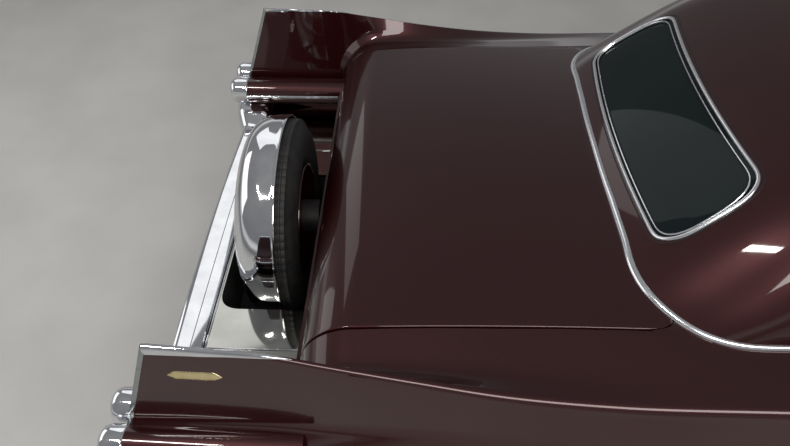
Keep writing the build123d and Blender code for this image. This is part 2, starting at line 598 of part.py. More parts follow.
def make_spare_tyre():
    """Spare tyre about an axis along the car."""
    half = 108.0
    lines = [
        Line((RIM_R, -72), (RIM_R + 40, -half + 6)),
        ThreePointArc((RIM_R + 40, -half + 6), (RIM_R + 80, -half), (SPARE_R - 40, -half + 8)),
        ThreePointArc((SPARE_R - 40, -half + 8), (SPARE_R - 14, -half + 20), (SPARE_R, -half + 50)),
        Line((SPARE_R, -half + 50), (SPARE_R, half - 50)),
        ThreePointArc((SPARE_R, half - 50), (SPARE_R - 14, half - 20), (SPARE_R - 40, half - 8)),
        ThreePointArc((SPARE_R - 40, half - 8), (RIM_R + 80, half), (RIM_R + 40, half - 6)),
        Line((RIM_R + 40, half - 6), (RIM_R, 72)),
        Line((RIM_R, 72), (RIM_R, -72)),
    ]
    return to_spare * revolve(Plane.XY * make_face(Wire(lines)), axis=Axis.Y)


spare_tyre = make_spare_tyre()
spare_rim = to_spare * make_rim(10)
cover_line = [
    Line((0, 126), (220, 126)),
    ThreePointArc((220, 126), (SPARE_R - 9, 105), (SPARE_R + 8, 60)),
    Line((SPARE_R + 8, 60), (SPARE_R + 8, -42)),
    Line((SPARE_R + 8, -42), (SPARE_R + 1, -42)),
    Line((SPARE_R + 1, -42), (SPARE_R + 1, 58)),
    ThreePointArc((SPARE_R + 1, 58), (SPARE_R - 15, 98), (220, 118)),
    Line((220, 118), (0, 118)),
    Line((0, 118), (0, 126)),
]
spare_cover = to_spare * revolve(Plane.XY * make_face(Wire(cover_line)), axis=Axis.Y)
hub_cap = cylinder_x(spare_mid - 118, spare_mid - 66, 0, SPARE_Z, 30)
spare_cover = spare_cover + hub_cap
spare_carrier = cylinder_x(spare_mid + 20, WALL_X, 0, SPARE_Z, 60)

# Rear bumper with its ends and the pods
BUMPER_TOP = 575.0
BUMPER_LOW = 430.0
bumper_plan = Wire([
    ThreePointArc((-2745, -750), (-2761, 0), (-2745, 750)),
    ThreePointArc((-2745, 750), (-2700, 965), (-2560, 1010)),
    Line((-2560, 1010), (-2560, 945)),
    ThreePointArc((-2560, 945), (-2625, 920), (-2644, 750)),
    Line((-2644, 750), (-2644, -750)),
    ThreePointArc((-2644, -750), (-2625, -920), (-2560, -945)),
    Line((-2560, -945), (-2560, -1010)),
    ThreePointArc((-2560, -1010), (-2700, -965), (-2745, -750)),
])
bumper_face = Pos(0, 0, BUMPER_LOW) * make_face(bumper_plan)
rear_bumper = extrude(bumper_face, amount=BUMPER_TOP - BUMPER_LOW, dir=(0, 0, 1))
long_edges = [e for e in rear_bumper.edges() if e.bounding_box().size.Z < 1 and e.center().X < -2730]
rear_bumper = fillet(long_edges, 18)
for side in (-1, 1):
    end_bulge = box(-2780, -2600, side * 790, side * 1012, 440, 600)
    end_bulge = fillet(end_bulge.edges().filter_by(Axis.Y), 30)
    rear_bumper = rear_bumper + (end_bulge - cylinder_x(-2900, -2500, side * 841, 671, TUBE_R + 1)
                                 - cylinder_x(-2900, -2500, side * 966, 679, TUBE_R + 1))
    rear_bumper = rear_bumper + box(-2650, -2620, side * 420 - 30, side * 420 + 30, 440, 480)

pods = []
for side in (-1, 1):
    for axis_y, axis_z, end_x in TUBES:
        pod = cylinder_x(end_x, POD_START, side * axis_y, axis_z, POD_R)
        pod = pod - cylinder_x(end_x - 1, end_x + 14, side * axis_y, axis_z, POD_R - 9)
        pod = pod + (Pos(end_x + 34, side * axis_y, axis_z) * Sphere(40) & box(end_x + 2, end_x + 40, -1100, 1100, 0, 1100))
        pods.append(pod)
tail_pods = Compound(children=[s for pod in pods for s in pod.solids()])

# Front end
grille = box(GRILLE_X, GRILLE_X + 28, -GRILLE_HALF, GRILLE_HALF, GRILLE_LOW, GRILLE_TOP)
grille = grille - box(GRILLE_X - 1, GRILLE_X + 29, -GRILLE_HALF + 18, GRILLE_HALF - 18, GRILLE_LOW + 18, GRILLE_TOP - 18)
for n in range(1, 8):
    z = GRILLE_LOW + 18 + n * (GRILLE_TOP - GRILLE_LOW - 36) / 8
    grille = grille + box(GRILLE_X + 4, GRILLE_X + 22, -GRILLE_HALF + 10, GRILLE_HALF - 10, z - 3, z + 3)
for n in range(1, 24):
    y = -GRILLE_HALF + 18 + n * (2 * GRILLE_HALF - 36) / 24
    grille = grille + box(GRILLE_X + 4, GRILLE_X + 22, y - 3, y + 3, GRILLE_LOW + 10, GRILLE_TOP - 10)
grille = grille + box(GRILLE_X, BODY_NOSE, -640, 640, 400, GRILLE_LOW)

lens_centre = (62 ** 2 - 36 ** 2 - LAMP_R ** 2) / (2 * (62 - 36))
lens_middle = lens_centre + math.sqrt((62 - lens_centre) ** 2 - (LAMP_R / 2) ** 2)
lamp_line = Wire([
    Line((0, 0), (0, LAMP_R + 22)),
    Line((0, LAMP_R + 22), (50, LAMP_R + 22)),
    ThreePointArc((50, LAMP_R + 22), (61, LAMP_R + 16), (58, LAMP_R + 5)),
    Line((58, LAMP_R + 5), (36, LAMP_R)),
    ThreePointArc((36, LAMP_R), (lens_middle, LAMP_R / 2), (62, 0)),
    Line((62, 0), (0, 0)),
])
lamp = Pos(BODY_NOSE, LAMP_Y, LAMP_Z) * revolve(Plane.XY * make_face(lamp_line), axis=Axis.X)
headlamps = both_sides(lamp)

front_plan = Wire([
    ThreePointArc((2650, -800), (2715, 0), (2650, 800)),
    ThreePointArc((2650, 800), (2600, 960), (2440, 1012)),
    Line((2440, 1012), (2440, 985)),
    ThreePointArc((2440, 985), (2560, 930), (2590, 800)),
    ThreePointArc((2590, 800), (2650, 0), (2590, -800)),
    ThreePointArc((2590, -800), (2560, -930), (2440, -985)),
    Line((2440, -985), (2440, -1012)),
    ThreePointArc((2440, -1012), (2600, -960), (2650, -800)),
])
front_bumper = extrude(Pos(0, 0, 345) * make_face(front_plan), amount=135, dir=(0, 0, 1))
edges = [e for e in front_bumper.edges() if e.bounding_box().size.Z < 1 and e.center().X > 2690]
front_bumper = fillet(edges, 22)
for side in (-1, 1):
    bullet = Pos(X_FRONT - 45, side * 400, 545) * Sphere(45)
    bullet = bullet + Pos(X_FRONT - 84, side * 400, 545) * (Rot(0, 90, 0) * Cone(75, 33, 120))
    bullet = bullet + Pos(X_FRONT - 172, side * 400, 545) * (Rot(0, 90, 0) * Cone(88, 75, 56))
    horn = box(2560, 2650, side * 420 - 35, side * 420 + 35, 348, 392)
    front_bumper = front_bumper + bullet + horn

# Heavy parts and what hangs below
engine_block = box(1240, 1980, -230, 230, 400, 900) + box(60, 1240, -90, 90, 335, 445)
fuel_tank = box(-1960, -1750, -360, 360, 270, 395)
fuel_tank = fillet(fuel_tank.edges(), 30) + box(-1875, -1865, -RAIL_Y1, RAIL_Y1, 380, 400)
exhaust = []
for side in (-1, 1):
    pipe = Pos(0, side * 290, 190) * (Rot(0, 90, 0) * Cylinder(28, 2300))
    muffler = cylinder_x(-560, -20, side * 290, 175, 58)
    hanger = box(-820, -780, side * 270, side * 310, 200, 228)
    exhaust.append(pipe + muffler + hanger)
exhaust = Compound(children=[s for one in exhaust for s in one.solids()])

# Cabin
dashboard = box(780, 1000, -720, 720, 700, 900) - box(770, 900, -700, 700, 690, 760)
steer_plane = Pos(560, 370, 800) * Rot(0, -62, 0)
steering_wheel = steer_plane * Torus(200, 12)
for angle in (0, 120, 240):
    spoke = Rot(0, 0, angle) * (Pos(100, 0, 0) * Box(200, 22, 10))
    steering_wheel = steering_wheel + steer_plane * spoke
steering_wheel = steering_wheel + steer_plane * Cylinder(34, 40)
column = steer_plane * (Pos(0, 0, -260) * Cylinder(20, 520))
steering_wheel = (steering_wheel + column) - dashboard - box(1000, 1200, 0, 700, 400, 900)


def seat(x0, x1, half, base, back_lean):
    """Bench seat: cushion and leaning back."""
    cushion = box(x0 + 80, x1, -half, half, base, base + 230)
    cushion = fillet(cushion.edges().filter_by(Axis.Y), 45)
    back = prism_y([(x0 + 60, base + 40), (x0 + 190, base + 60), (x0 + 190 - back_lean, base + 560),
                    (x0 + 60 - back_lean, base + 560)], -half, half)
    return cushion + back


front_seat = seat(-230, 430, 690, FLOOR_Z + 15, 90) - box(-400, 500, -125, 125, 300, 475)
rear_seat = seat(-940, -420, 640, FLOOR_Z + 15, 40) - box(-1000, -300, -125, 125, 300, 475)
rear_seat = rear_seat & box(-984, -300, -700, 700, 300, 1000)

door_left = door_left - door_glass
for z in DOOR_HINGE_Z:
    barrel = cylinder_z(DOOR_FRONT + SHUT_HALF, DOOR_HINGE_Y, z - HINGE_HALF, z + HINGE_HALF, HINGE_R)
    leaf = box(DOOR_FRONT - 5, DOOR_FRONT + SHUT_HALF, DOOR_HINGE_Y - 4, DOOR_HINGE_Y - 1, z - HINGE_HALF,
               z + HINGE_HALF)
    door_left = door_left + barrel + leaf
    for lug in (-1, 1):
        near = z + lug * (HINGE_HALF + SEAT_GAP)
        far = near + lug * HINGE_LUG
        outer_barrel = cylinder_z(DOOR_FRONT + SHUT_HALF, DOOR_HINGE_Y, near, far, HINGE_R)
        outer_leaf = box(DOOR_FRONT + SHUT_HALF, DOOR_FRONT + 16, DOOR_HINGE_Y - 4, DOOR_HINGE_Y - 1, near, far)
        fender_left = fender_left + outer_barrel + outer_leaf
for y in (-HOOD_HINGE_Y, HOOD_HINGE_Y):
    hood = hood + cylinder_y(HOOD_REAR - SHUT_HALF, y - HINGE_HALF, y + HINGE_HALF, HOOD_HINGE_Z, HINGE_R)
    hood = hood + box(HOOD_REAR - SHUT_HALF, HOOD_REAR + 5, y - HINGE_HALF, y + HINGE_HALF, HOOD_HINGE_Z - 3,
                      HOOD_HINGE_Z)
ARM_LINE = [(-1256, 975), (-1280, 985), (-1325, 884), (-1392, 876), (-1426, 975), (-1442, 972), (-1404, 860),
            (-1314, 866)]
for side in (-1, 1):
    arm_y = side * LID_HINGE_Y
    arm = prism_y(ARM_LINE, arm_y - 7, arm_y + 7)
    arm = arm + cylinder_y(LID_HINGE[0], arm_y - 7, arm_y + 7, LID_HINGE[1], 13)
    arm = arm - cylinder_y(LID_HINGE[0], arm_y - 8, arm_y + 8, LID_HINGE[1], 6 + SEAT_GAP)
    decklid = decklid + arm
LEFT = [("fender", fender_left), ("quarter", quarter_left), ("door", door_left), ("door_glass", door_glass),
        ("knuckle", knuckle_left)]
parts = {
    "chassis_frame": chassis_frame,
    "floor_pan": floor_pan,
    "sills": sills,
    "cowl": cowl,
    "parcel_shelf": parcel_shelf,
    "rear_panel": rear_panel,
    "tray": tray,
    "roof": roof,
    "windshield": windshield,
    "rear_window": rear_window,
    "quarter_windows": both_sides(quarter_glass),
    "grille": grille,
    "front_bumper": front_bumper,
    "rear_bumper": rear_bumper,
    "tail_pods": tail_pods,
    "headlamps": headlamps,
    "spare_tyre": spare_tyre,
    "spare_rim": spare_rim,
    "spare_cover": spare_cover,
    "spare_carrier": spare_carrier,
    "engine_block": engine_block,
    "rear_axle": rear_axle,
    "front_suspension": front_suspension,
    "exhaust": exhaust,
    "fuel_tank": fuel_tank,
    "dashboard": dashboard,
    "steering_wheel": steering_wheel,
    "front_seat": front_seat,
    "rear_seat": rear_seat,
    "hood": hood,
    "decklid": decklid,
}
for name, solid in LEFT:
    parts[name + "_left"] = solid
    parts[name + "_right"] = mirror(solid, about=Plane.XZ)
for end, axle_x in (("front", X_FRONT_AXLE), ("rear", X_REAR_AXLE)):
    for side_name, side in (("left", 1), ("right", -1)):
        place = Pos(axle_x, side * WHEEL_Y, TYRE_R) * Rot(0, 0, 0 if side > 0 else 180)
        parts["tyre_" + end + "_" + side_name] = place * tyre
        parts["rim_" + end + "_" + side_name] = place * rim

os.makedirs("parts", exist_ok=True)
for name, solid in parts.items():
    export_step(solid, "parts/" + name + ".step")
print(len(parts), "nodes written")
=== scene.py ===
# %% [markdown]
# A two-door hardtop of the late 1950s, seen over its tail fins: the whole car is dressed in this
# file. The construction comes packed, as a fixed frame of named pieces. What is made here is what
# the eye meets: smooth body panels, bright trim, glass, rubber, leather, and the studio around
# them. Every panel could be carved with boolean cuts, but grids of points give cleaner reflections
# on dark paint, so most pieces here are grids worked out from a few tables of sizes.

# %% Load the frame
import math

import bmesh
import bpy
import numpy as np
from mathutils import Matrix, Vector
from mathutils.bvhtree import BVHTree


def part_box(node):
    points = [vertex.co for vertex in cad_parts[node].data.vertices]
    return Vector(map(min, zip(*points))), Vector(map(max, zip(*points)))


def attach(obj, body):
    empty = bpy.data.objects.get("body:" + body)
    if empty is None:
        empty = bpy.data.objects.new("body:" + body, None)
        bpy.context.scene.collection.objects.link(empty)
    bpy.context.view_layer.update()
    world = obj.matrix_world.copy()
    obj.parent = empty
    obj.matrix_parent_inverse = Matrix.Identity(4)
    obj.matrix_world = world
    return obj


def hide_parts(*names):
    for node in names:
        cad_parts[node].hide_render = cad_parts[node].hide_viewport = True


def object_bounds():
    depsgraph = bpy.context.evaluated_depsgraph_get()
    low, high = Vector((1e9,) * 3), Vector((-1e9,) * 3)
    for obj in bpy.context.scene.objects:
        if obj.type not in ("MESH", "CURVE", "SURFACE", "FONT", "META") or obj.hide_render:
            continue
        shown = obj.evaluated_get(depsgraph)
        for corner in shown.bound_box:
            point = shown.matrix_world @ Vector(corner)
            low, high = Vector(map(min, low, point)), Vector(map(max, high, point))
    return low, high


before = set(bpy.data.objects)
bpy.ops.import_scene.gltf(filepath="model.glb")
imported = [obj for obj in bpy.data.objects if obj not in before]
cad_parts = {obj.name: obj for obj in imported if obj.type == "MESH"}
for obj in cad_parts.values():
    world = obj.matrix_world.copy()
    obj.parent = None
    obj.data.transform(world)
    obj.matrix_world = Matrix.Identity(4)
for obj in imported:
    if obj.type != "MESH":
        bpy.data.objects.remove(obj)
cad_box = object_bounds()

# %% [markdown]
# The camera stands where the photographer stood: beside the rear wheel, above eye level, looking
# down across the tail. A camera can be set by two points, or by angles. Angles are used here,
# because the tilt, the turn and the slight roll were each worked out from the car's straight edges.

# %% Camera
CAMERA_PLACE = Vector((-1.962, -1.971, 2.434))
TURN = math.radians(-2.07)
DIP = math.radians(42.47)
LEAN = math.radians(-0.40)
FOCAL_PIXELS = 714.6
IMAGE_WIDTH = 790
SENSOR = 36.0

forward = Vector((math.sin(TURN) * math.cos(DIP), math.cos(TURN) * math.cos(DIP), -math.sin(DIP)))
level = Vector((math.cos(TURN), -math.sin(TURN), 0))
lift = level.cross(forward)
right = level * math.cos(LEAN) + lift * math.sin(LEAN)
upward = lift * math.cos(LEAN) - level * math.sin(LEAN)
camera_data = bpy.data.cameras.new("camera")
camera_data.sensor_width = SENSOR
camera_data.lens = FOCAL_PIXELS / IMAGE_WIDTH * SENSOR
camera = bpy.data.objects.new("camera", camera_data)
axes = Matrix((right, upward, -forward)).transposed().to_4x4()
camera.matrix_world = Matrix.Translation(CAMERA_PLACE) @ axes
bpy.context.scene.collection.objects.link(camera)
bpy.context.scene.camera = camera
bpy.context.scene.view_settings.view_transform = "Standard"
print("lens", round(camera_data.lens, 2))

# %% [markdown]
# Finishes come before shapes, so that each piece gets its material as it is made. A material could
# be one flat colour, but real surfaces vary: flakes lie in the paint, plating has faint haze,
# rubber holds dust. One helper lays a noise over the colour, the roughness and the bump, and each
# finish only sets its numbers.


# %% Material helper
def finish(name, dark, light, scale, rough=(0.3, 0.4), bump=0.0, bump_scale=None, **sockets):
    """A procedural finish: noise between two colours, two roughness values and a bump."""
    material = bpy.data.materials.new(name)
    material.use_nodes = True
    nodes = material.node_tree.nodes
    links = material.node_tree.links
    shader = nodes["Principled BSDF"]
    place = nodes.new("ShaderNodeTexCoord")
    noise = nodes.new("ShaderNodeTexNoise")
    noise.inputs["Scale"].default_value = scale
    noise.inputs["Detail"].default_value = 4.0
    links.new(place.outputs["Object"], noise.inputs["Vector"])
    ramp = nodes.new("ShaderNodeValToRGB")
    ramp.color_ramp.elements[0].position = 0.35
    ramp.color_ramp.elements[1].position = 0.65
    ramp.color_ramp.elements[0].color = (*dark, 1)
    ramp.color_ramp.elements[1].color = (*light, 1)
    links.new(noise.outputs["Fac"], ramp.inputs["Fac"])
    links.new(ramp.outputs["Color"], shader.inputs["Base Color"])
    spans = nodes.new("ShaderNodeMapRange")
    spans.inputs["To Min"].default_value = rough[0]
    spans.inputs["To Max"].default_value = rough[1]
    links.new(noise.outputs["Fac"], spans.inputs["Value"])
    links.new(spans.outputs["Result"], shader.inputs["Roughness"])
    if bump:
        grain = nodes.new("ShaderNodeTexNoise")
        grain.inputs["Scale"].default_value = bump_scale or scale
        grain.inputs["Detail"].default_value = 5.0
        links.new(place.outputs["Object"], grain.inputs["Vector"])
        relief = nodes.new("ShaderNodeBump")
        relief.inputs["Strength"].default_value = bump
        relief.inputs["Distance"].default_value = 0.001
        links.new(grain.outputs["Fac"], relief.inputs["Height"])
        links.new(relief.outputs["Normal"], shader.inputs["Normal"])
    for socket, value in sockets.items():
        shader.inputs[socket.replace("_", " ").title().replace("Ior", "IOR")].default_value = value
    return material


def srgb(red, green, blue):
    """Scene-linear colour of an 8-bit screen colour."""
    shares = (red / 255, green / 255, blue / 255)
    return tuple(((c + 0.055) / 1.055) ** 2.4 if c > 0.04 else c / 12.92 for c in shares)


# %% [markdown]
# The car's colour is a maroon so dark that it reads as brown in shade and as wine red where light
# rakes it. Flakes under a clear lacquer do that: a metallic base for the flakes, and a smooth coat
# over them.

# %% Finishes
PAINT = finish("maroon_lacquer", srgb(40, 6, 8), srgb(58, 9, 12), 700, (0.30, 0.42), metallic=0.6,
               coat_weight=0.9, coat_roughness=0.04, specular_ior_level=0.3)
CHROME = finish("chrome_plate", srgb(214, 216, 220), srgb(228, 229, 232), 14, (0.03, 0.07), metallic=1.0)
BRIGHT = finish("polished_tray_plate", srgb(172, 172, 166), srgb(184, 184, 178), 9, (0.05, 0.10),
                metallic=1.0)
TRIM = finish("bright_moulding", srgb(228, 230, 233), srgb(238, 239, 242), 60, (0.16, 0.24),
              metallic=1.0)
STEEL = finish("brushed_strip", srgb(176, 180, 184), srgb(196, 199, 203), 60, (0.18, 0.28), 0.1, 240,
               metallic=1.0)
GOLD = finish("gold_tone", srgb(216, 200, 152), srgb(228, 213, 168), 40, (0.20, 0.32), metallic=1.0)
RUBBER = finish("tyre_rubber", srgb(20, 20, 20), srgb(34, 33, 32), 22, (0.55, 0.75), 0.25, 380)
WHITEWALL = finish("whitewall_rubber", srgb(214, 210, 200), srgb(228, 225, 216), 16, (0.5, 0.62),
                   0.1, 300)
# Black rubber for seals and dial faces, also used as painted shade behind the grille.
SEAL_AND_SHADE = finish("black_seal_and_shade", srgb(10, 10, 11), srgb(20, 20, 20), 40, (0.45, 0.6))
GLASS = finish("tinted_glass", srgb(120, 140, 136), srgb(126, 146, 142), 3, (0.0, 0.01),
               transmission_weight=1.0, ior=1.45)
FRAME_BLACK = finish("chassis_black", srgb(18, 18, 19), srgb(40, 38, 36), 12, (0.45, 0.7), 0.3, 90)
CAST = finish("cast_iron_paint", srgb(60, 66, 62), srgb(84, 90, 84), 10, (0.5, 0.7), 0.4, 60)
PIPE = finish("exhaust_steel", srgb(92, 84, 76), srgb(128, 120, 110), 7, (0.35, 0.55), 0.2, 50, metallic=0.8)
CARPET = finish("cabin_carpet", srgb(42, 18, 20), srgb(64, 28, 30), 260, (0.85, 0.95), 1.0, 900)
LEATHER = finish("seat_leather", srgb(176, 160, 136), srgb(190, 176, 152), 5, (0.4, 0.55), 0.6, 220)
LEATHER_DARK = finish("maroon_leather", srgb(70, 22, 26), srgb(88, 30, 34), 5, (0.38, 0.52), 0.6, 220)
DASH = finish("dash_enamel", srgb(44, 14, 18), srgb(58, 18, 24), 30, (0.25, 0.35), coat_weight=0.6,
              coat_roughness=0.08)
IVORY = finish("ivory_rim", srgb(206, 198, 178), srgb(216, 209, 190), 20, (0.25, 0.35), coat_weight=0.5)
LENS_CLEAR = finish("lamp_glass", srgb(214, 218, 220), srgb(226, 229, 230), 30, (0.04, 0.08), 0.3, 120,
                    transmission_weight=0.35)
LENS_RED = finish("red_lens", srgb(120, 8, 8), srgb(150, 14, 12), 30, (0.08, 0.14), transmission_weight=0.25)
FLOOR = finish("studio_floor", srgb(186, 185, 182), srgb(194, 193, 190), 2.2, (0.6, 0.75), 0.15, 40)
print("materials", len(bpy.data.materials))

# %% [markdown]
# Small helpers for shapes. A grid of points becomes a mesh with one quad between each four
# neighbours; a sheet is that grid and its copy set inwards, closed round the rim, which is how a
# pressed panel with a folded edge looks. Mirrored pieces turn their faces round, so that all
# normals keep pointing outwards.


# %% Mesh helpers
def quads(rows, cols, wrap_rows=False, wrap_cols=False, start=0):
    """Faces of a grid. Rows run to the rear and columns run up, for normals that point outwards."""
    r, c = np.meshgrid(np.arange(rows if wrap_rows else rows - 1), np.arange(cols if wrap_cols else cols - 1),
                       indexing="ij")
    down = (r + 1) % rows
    over = (c + 1) % cols
    faces = np.stack([r * cols + c, down * cols + c, down * cols + over, r * cols + over], -1)
    return (faces.reshape(-1, 4) + start).tolist()


def normals_of(grid):
    """Unit normal at each point of a grid."""
    along = np.gradient(grid, axis=0)
    across = np.gradient(grid, axis=1)
    found = np.cross(along, across)
    size = np.linalg.norm(found, axis=2, keepdims=True)
    return found / np.where(size < 1e-12, 1, size)


def sheet(grid, thick):
    """Vertices and faces of a closed sheet with the grid as its outer face."""
    grid = np.asarray(grid, float)
    rows, cols = grid.shape[:2]
    inner = grid - normals_of(grid) * thick
    count = rows * cols
    faces = quads(rows, cols)
    faces += [[v + count for v in reversed(face)] for face in faces]
    index = np.arange(count).reshape(rows, cols)
    rim = np.concatenate([index[0, :-1], index[:-1, -1], index[-1, :0:-1], index[:0:-1, 0]])
    ahead = np.roll(rim, -1)
    faces += np.stack([rim, ahead, ahead + count, rim + count], -1).tolist()
    return np.concatenate([grid.reshape(-1, 3), inner.reshape(-1, 3)]), faces


def capped(grid):
    """A tube of closed sections with both ends filled."""
    rows, cols = grid.shape[:2]
    faces = quads(rows, cols, wrap_cols=True)
    faces.append(list(range(cols)))
    faces.append([(rows - 1) * cols + c for c in range(cols - 1, -1, -1)])
    return grid.reshape(-1, 3), faces


def slab(front, back):
    """A plate between an outline and its copy."""
    count = len(front)
    faces = [list(range(count)), list(range(2 * count - 1, count - 1, -1))]
    for k in range(count):
        after = (k + 1) % count
        faces.append([k, k + count, after + count, after])
    return np.concatenate([front, back]), faces


def join(*shapes):
    """Several (vertices, faces) as one."""
    points = []
    faces = []
    start = 0
    for verts, polys in shapes:
        verts = np.asarray(verts, float).reshape(-1, 3)
        points.append(verts)
        faces += [[v + start for v in poly] for poly in polys]
        start += len(verts)
    return np.concatenate(points), faces


def mirror_shape(shape):
    """The same shape on the car's right side."""
    verts, faces = shape
    return np.asarray(verts).reshape(-1, 3) * (1, -1, 1), [list(reversed(face)) for face in faces]


def both(shape):
    """A shape and its mirror image as one."""
    return join(shape, mirror_shape(shape))


MERGE_REACH = 2e-5


def piece(name, shape, material, body="body", slot=None, replaces=(), sharp=38):
    """A finished, smooth-shaded piece that rides on a body of the car."""
    verts, faces = shape
    mesh = bpy.data.meshes.new(name)
    mesh.from_pydata(np.asarray(verts).reshape(-1, 3).tolist(), [], faces)
    work = bmesh.new()
    work.from_mesh(mesh)
    bmesh.ops.remove_doubles(work, verts=work.verts, dist=MERGE_REACH)
    bmesh.ops.dissolve_degenerate(work, edges=work.edges, dist=1e-6)
    work.to_mesh(mesh)
    work.free()
    mesh.shade_smooth()
    mesh.set_sharp_from_angle(angle=math.radians(sharp))
    made = bpy.data.objects.new(name, mesh)
    bpy.context.scene.collection.objects.link(made)
    made.data.materials.append(material)
    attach(made, body)
    if replaces:
        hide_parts(*replaces)
    print(name, len(mesh.polygons), "faces")
    return made


def pair(name, shape, material, body="body", slot=None, replaces=(), **more):
    """A left piece and its mirror image. Names of bodies and nodes may hold SIDE."""
    for side, form in (("left", shape), ("right", mirror_shape(shape))):
        nodes = [node.replace("SIDE", side) for node in replaces]
        piece(name + "_" + side, form, material, body.replace("SIDE", side), slot, nodes, **more)


def run_along(points):
    """Length of a line from its start to each of its points."""
    steps = np.linalg.norm(np.diff(points, axis=0), axis=1)
    return np.concatenate([[0], np.cumsum(steps)])


def rounded(points, reach, steps=5):
    """A polyline whose inner corners are eased by short curves of that reach."""
    points = [np.asarray(p, float) for p in points]
    out = [points[0]]
    for before, corner, after in zip(points, points[1:], points[2:]):
        back = before - corner
        ahead = after - corner
        near = min(reach, 0.5 * np.linalg.norm(back))
        far = min(reach, 0.5 * np.linalg.norm(ahead))
        a = corner + back / max(np.linalg.norm(back), 1e-9) * near
        b = corner + ahead / max(np.linalg.norm(ahead), 1e-9) * far
        for t in np.linspace(0, 1, steps):
            out.append((1 - t) ** 2 * a + 2 * t * (1 - t) * corner + t * t * b)
    out.append(points[-1])
    return np.array(out)


def turned(profile, centre, axis, steps=96):
    """A shape turned about an axis: the profile holds (radius, place along the axis)."""
    axis = Vector(axis).normalized()
    side = axis.orthogonal().normalized()
    other = axis.cross(side)
    angles = np.linspace(0, 2 * math.pi, steps, endpoint=False)
    ring = np.outer(np.cos(angles), side) + np.outer(np.sin(angles), other)
    radius, along = np.asarray(profile, float).T
    grid = np.asarray(centre) + along[None, :, None] * np.array(axis)
    grid = grid + radius[None, :, None] * ring[:, None, :]
    return grid.reshape(-1, 3), quads(steps, len(radius), wrap_rows=True)


def swept(path, profile, closed=False, up=(0, 0, 1), scales=None):
    """A closed profile of (sideways, upwards) carried along a path, sideways to the right of it."""
    path = np.asarray(path, float)
    ahead = np.roll(path, -1, 0) - np.roll(path, 1, 0) if closed else np.gradient(path, axis=0)
    ahead = ahead / np.linalg.norm(ahead, axis=1, keepdims=True)
    up = np.broadcast_to(np.asarray(up, float), path.shape)
    aside = np.cross(ahead, up)
    aside = aside / np.linalg.norm(aside, axis=1, keepdims=True)
    top = np.cross(aside, ahead)
    profile = np.asarray(profile, float)
    size = np.ones(len(path)) if scales is None else np.asarray(scales, float)
    offsets = profile[None, :, :] * size[:, None, None]
    grid = path[:, None, :] + offsets[..., :1] * aside[:, None, :]
    grid = grid + offsets[..., 1:] * top[:, None, :]
    if closed:
        return grid.reshape(-1, 3), quads(*grid.shape[:2], wrap_rows=True, wrap_cols=True)
    return capped(grid)


def block(low, high, radius=0.0, steps=4):
    """A box between two corners with rounded edges."""
    work = bmesh.new()
    bmesh.ops.create_cube(work, size=1.0)
    low, high = np.array(low, float), np.array(high, float)
    for vert in work.verts:
        vert.co = Vector(low + (np.array(vert.co) + 0.5) * (high - low))
    if radius:
        bmesh.ops.bevel(work, geom=work.edges[:] + work.verts[:], offset=radius, segments=steps,
                        profile=0.5, affect="EDGES")
    verts = np.array([v.co[:] for v in work.verts])
    faces = [[v.index for v in face.verts] for face in work.faces]
    work.free()
    return verts, faces


def oval(width, height, steps=12, flat=0.0):
    """Closed profile of a bead: half round above, and as deep as flat below."""
    angle = np.linspace(0, 2 * math.pi, steps, endpoint=False)
    rise = np.sin(angle) * height
    return np.stack([np.cos(angle) * width / 2, np.where(rise < 0, rise * flat, rise)], -1)


# %% [markdown]
# The body side is one flowing surface from the headlamp to the fin. Each row of the table is a
# slice across the car, and every column is drawn through the rows as a smooth curve. Lofting with
# Blender's curve tools would do it too, but with a table each slice can start at the sill, at a
# wheel arch or at a door's edge as needed.

# %% Body side table, metres
WIDEST_Z = 0.620
NOSE_X = 2.560
WALL_X = -2.295
FRONT_AXLE = sum(c[0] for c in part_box("tyre_front_left")) / 2
REAR_AXLE = sum(c[0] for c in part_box("tyre_rear_left")) / 2
TYRE_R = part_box("tyre_rear_left")[1][2] / 2
# x, sill y, sill z, widest y, valley y, valley z,
# crest y, crest z, edge radius, root y, root z, inner y, inner z
SIDE_ROWS = [
    (NOSE_X, .830, .330, .905, .900, .780, .880, .900, .040, .760, .890, .640, .872),
    (2.250, .900, .300, .965, .958, .780, .930, .928, .035, .800, .918, .660, .905),
    (1.920, .930, .280, .985, .977, .790, .948, .938, .032, .820, .928, .675, .920),
    (1.000, .950, .260, 1.002, .992, .795, .965, .930, .030, .880, .936, .700, .950),
    (0.000, .955, .260, 1.010, 1.000, .795, .972, .915, .030, .890, .926, .800, .940),
    (-1.045, .955, .260, 1.014, 1.002, .795, .980, .916, .028, .900, .926, .800, .942),
    (-1.460, .955, .265, 1.015, .996, .790, .972, .912, .024, .890, .916, .757, .952),
    (-1.740, .953, .275, 1.015, .982, .782, .960, .930, .020, .880, .912, .757, .949),
    (-1.940, .950, .290, 1.015, .965, .772, .946, .958, .016, .875, .905, .757, .944),
    (-2.180, .945, .320, 1.014, .948, .758, .932, 1.000, .012, .882, .890, .757, .925),
    (WALL_X, .940, .335, 1.013, .938, .748, .924, 1.020, .011, .885, .870, .757, .905),
    (-2.500, .925, .360, 1.005, .930, .740, .917, 1.034, .011, .888, .850, .757, .885),
    (-2.745, .905, .395, .995, .926, .732, .910, 1.046, .011, .888, .840, .757, .875),
]
VALLEY_EASE = 0.022
ROOT_EASE = 0.040


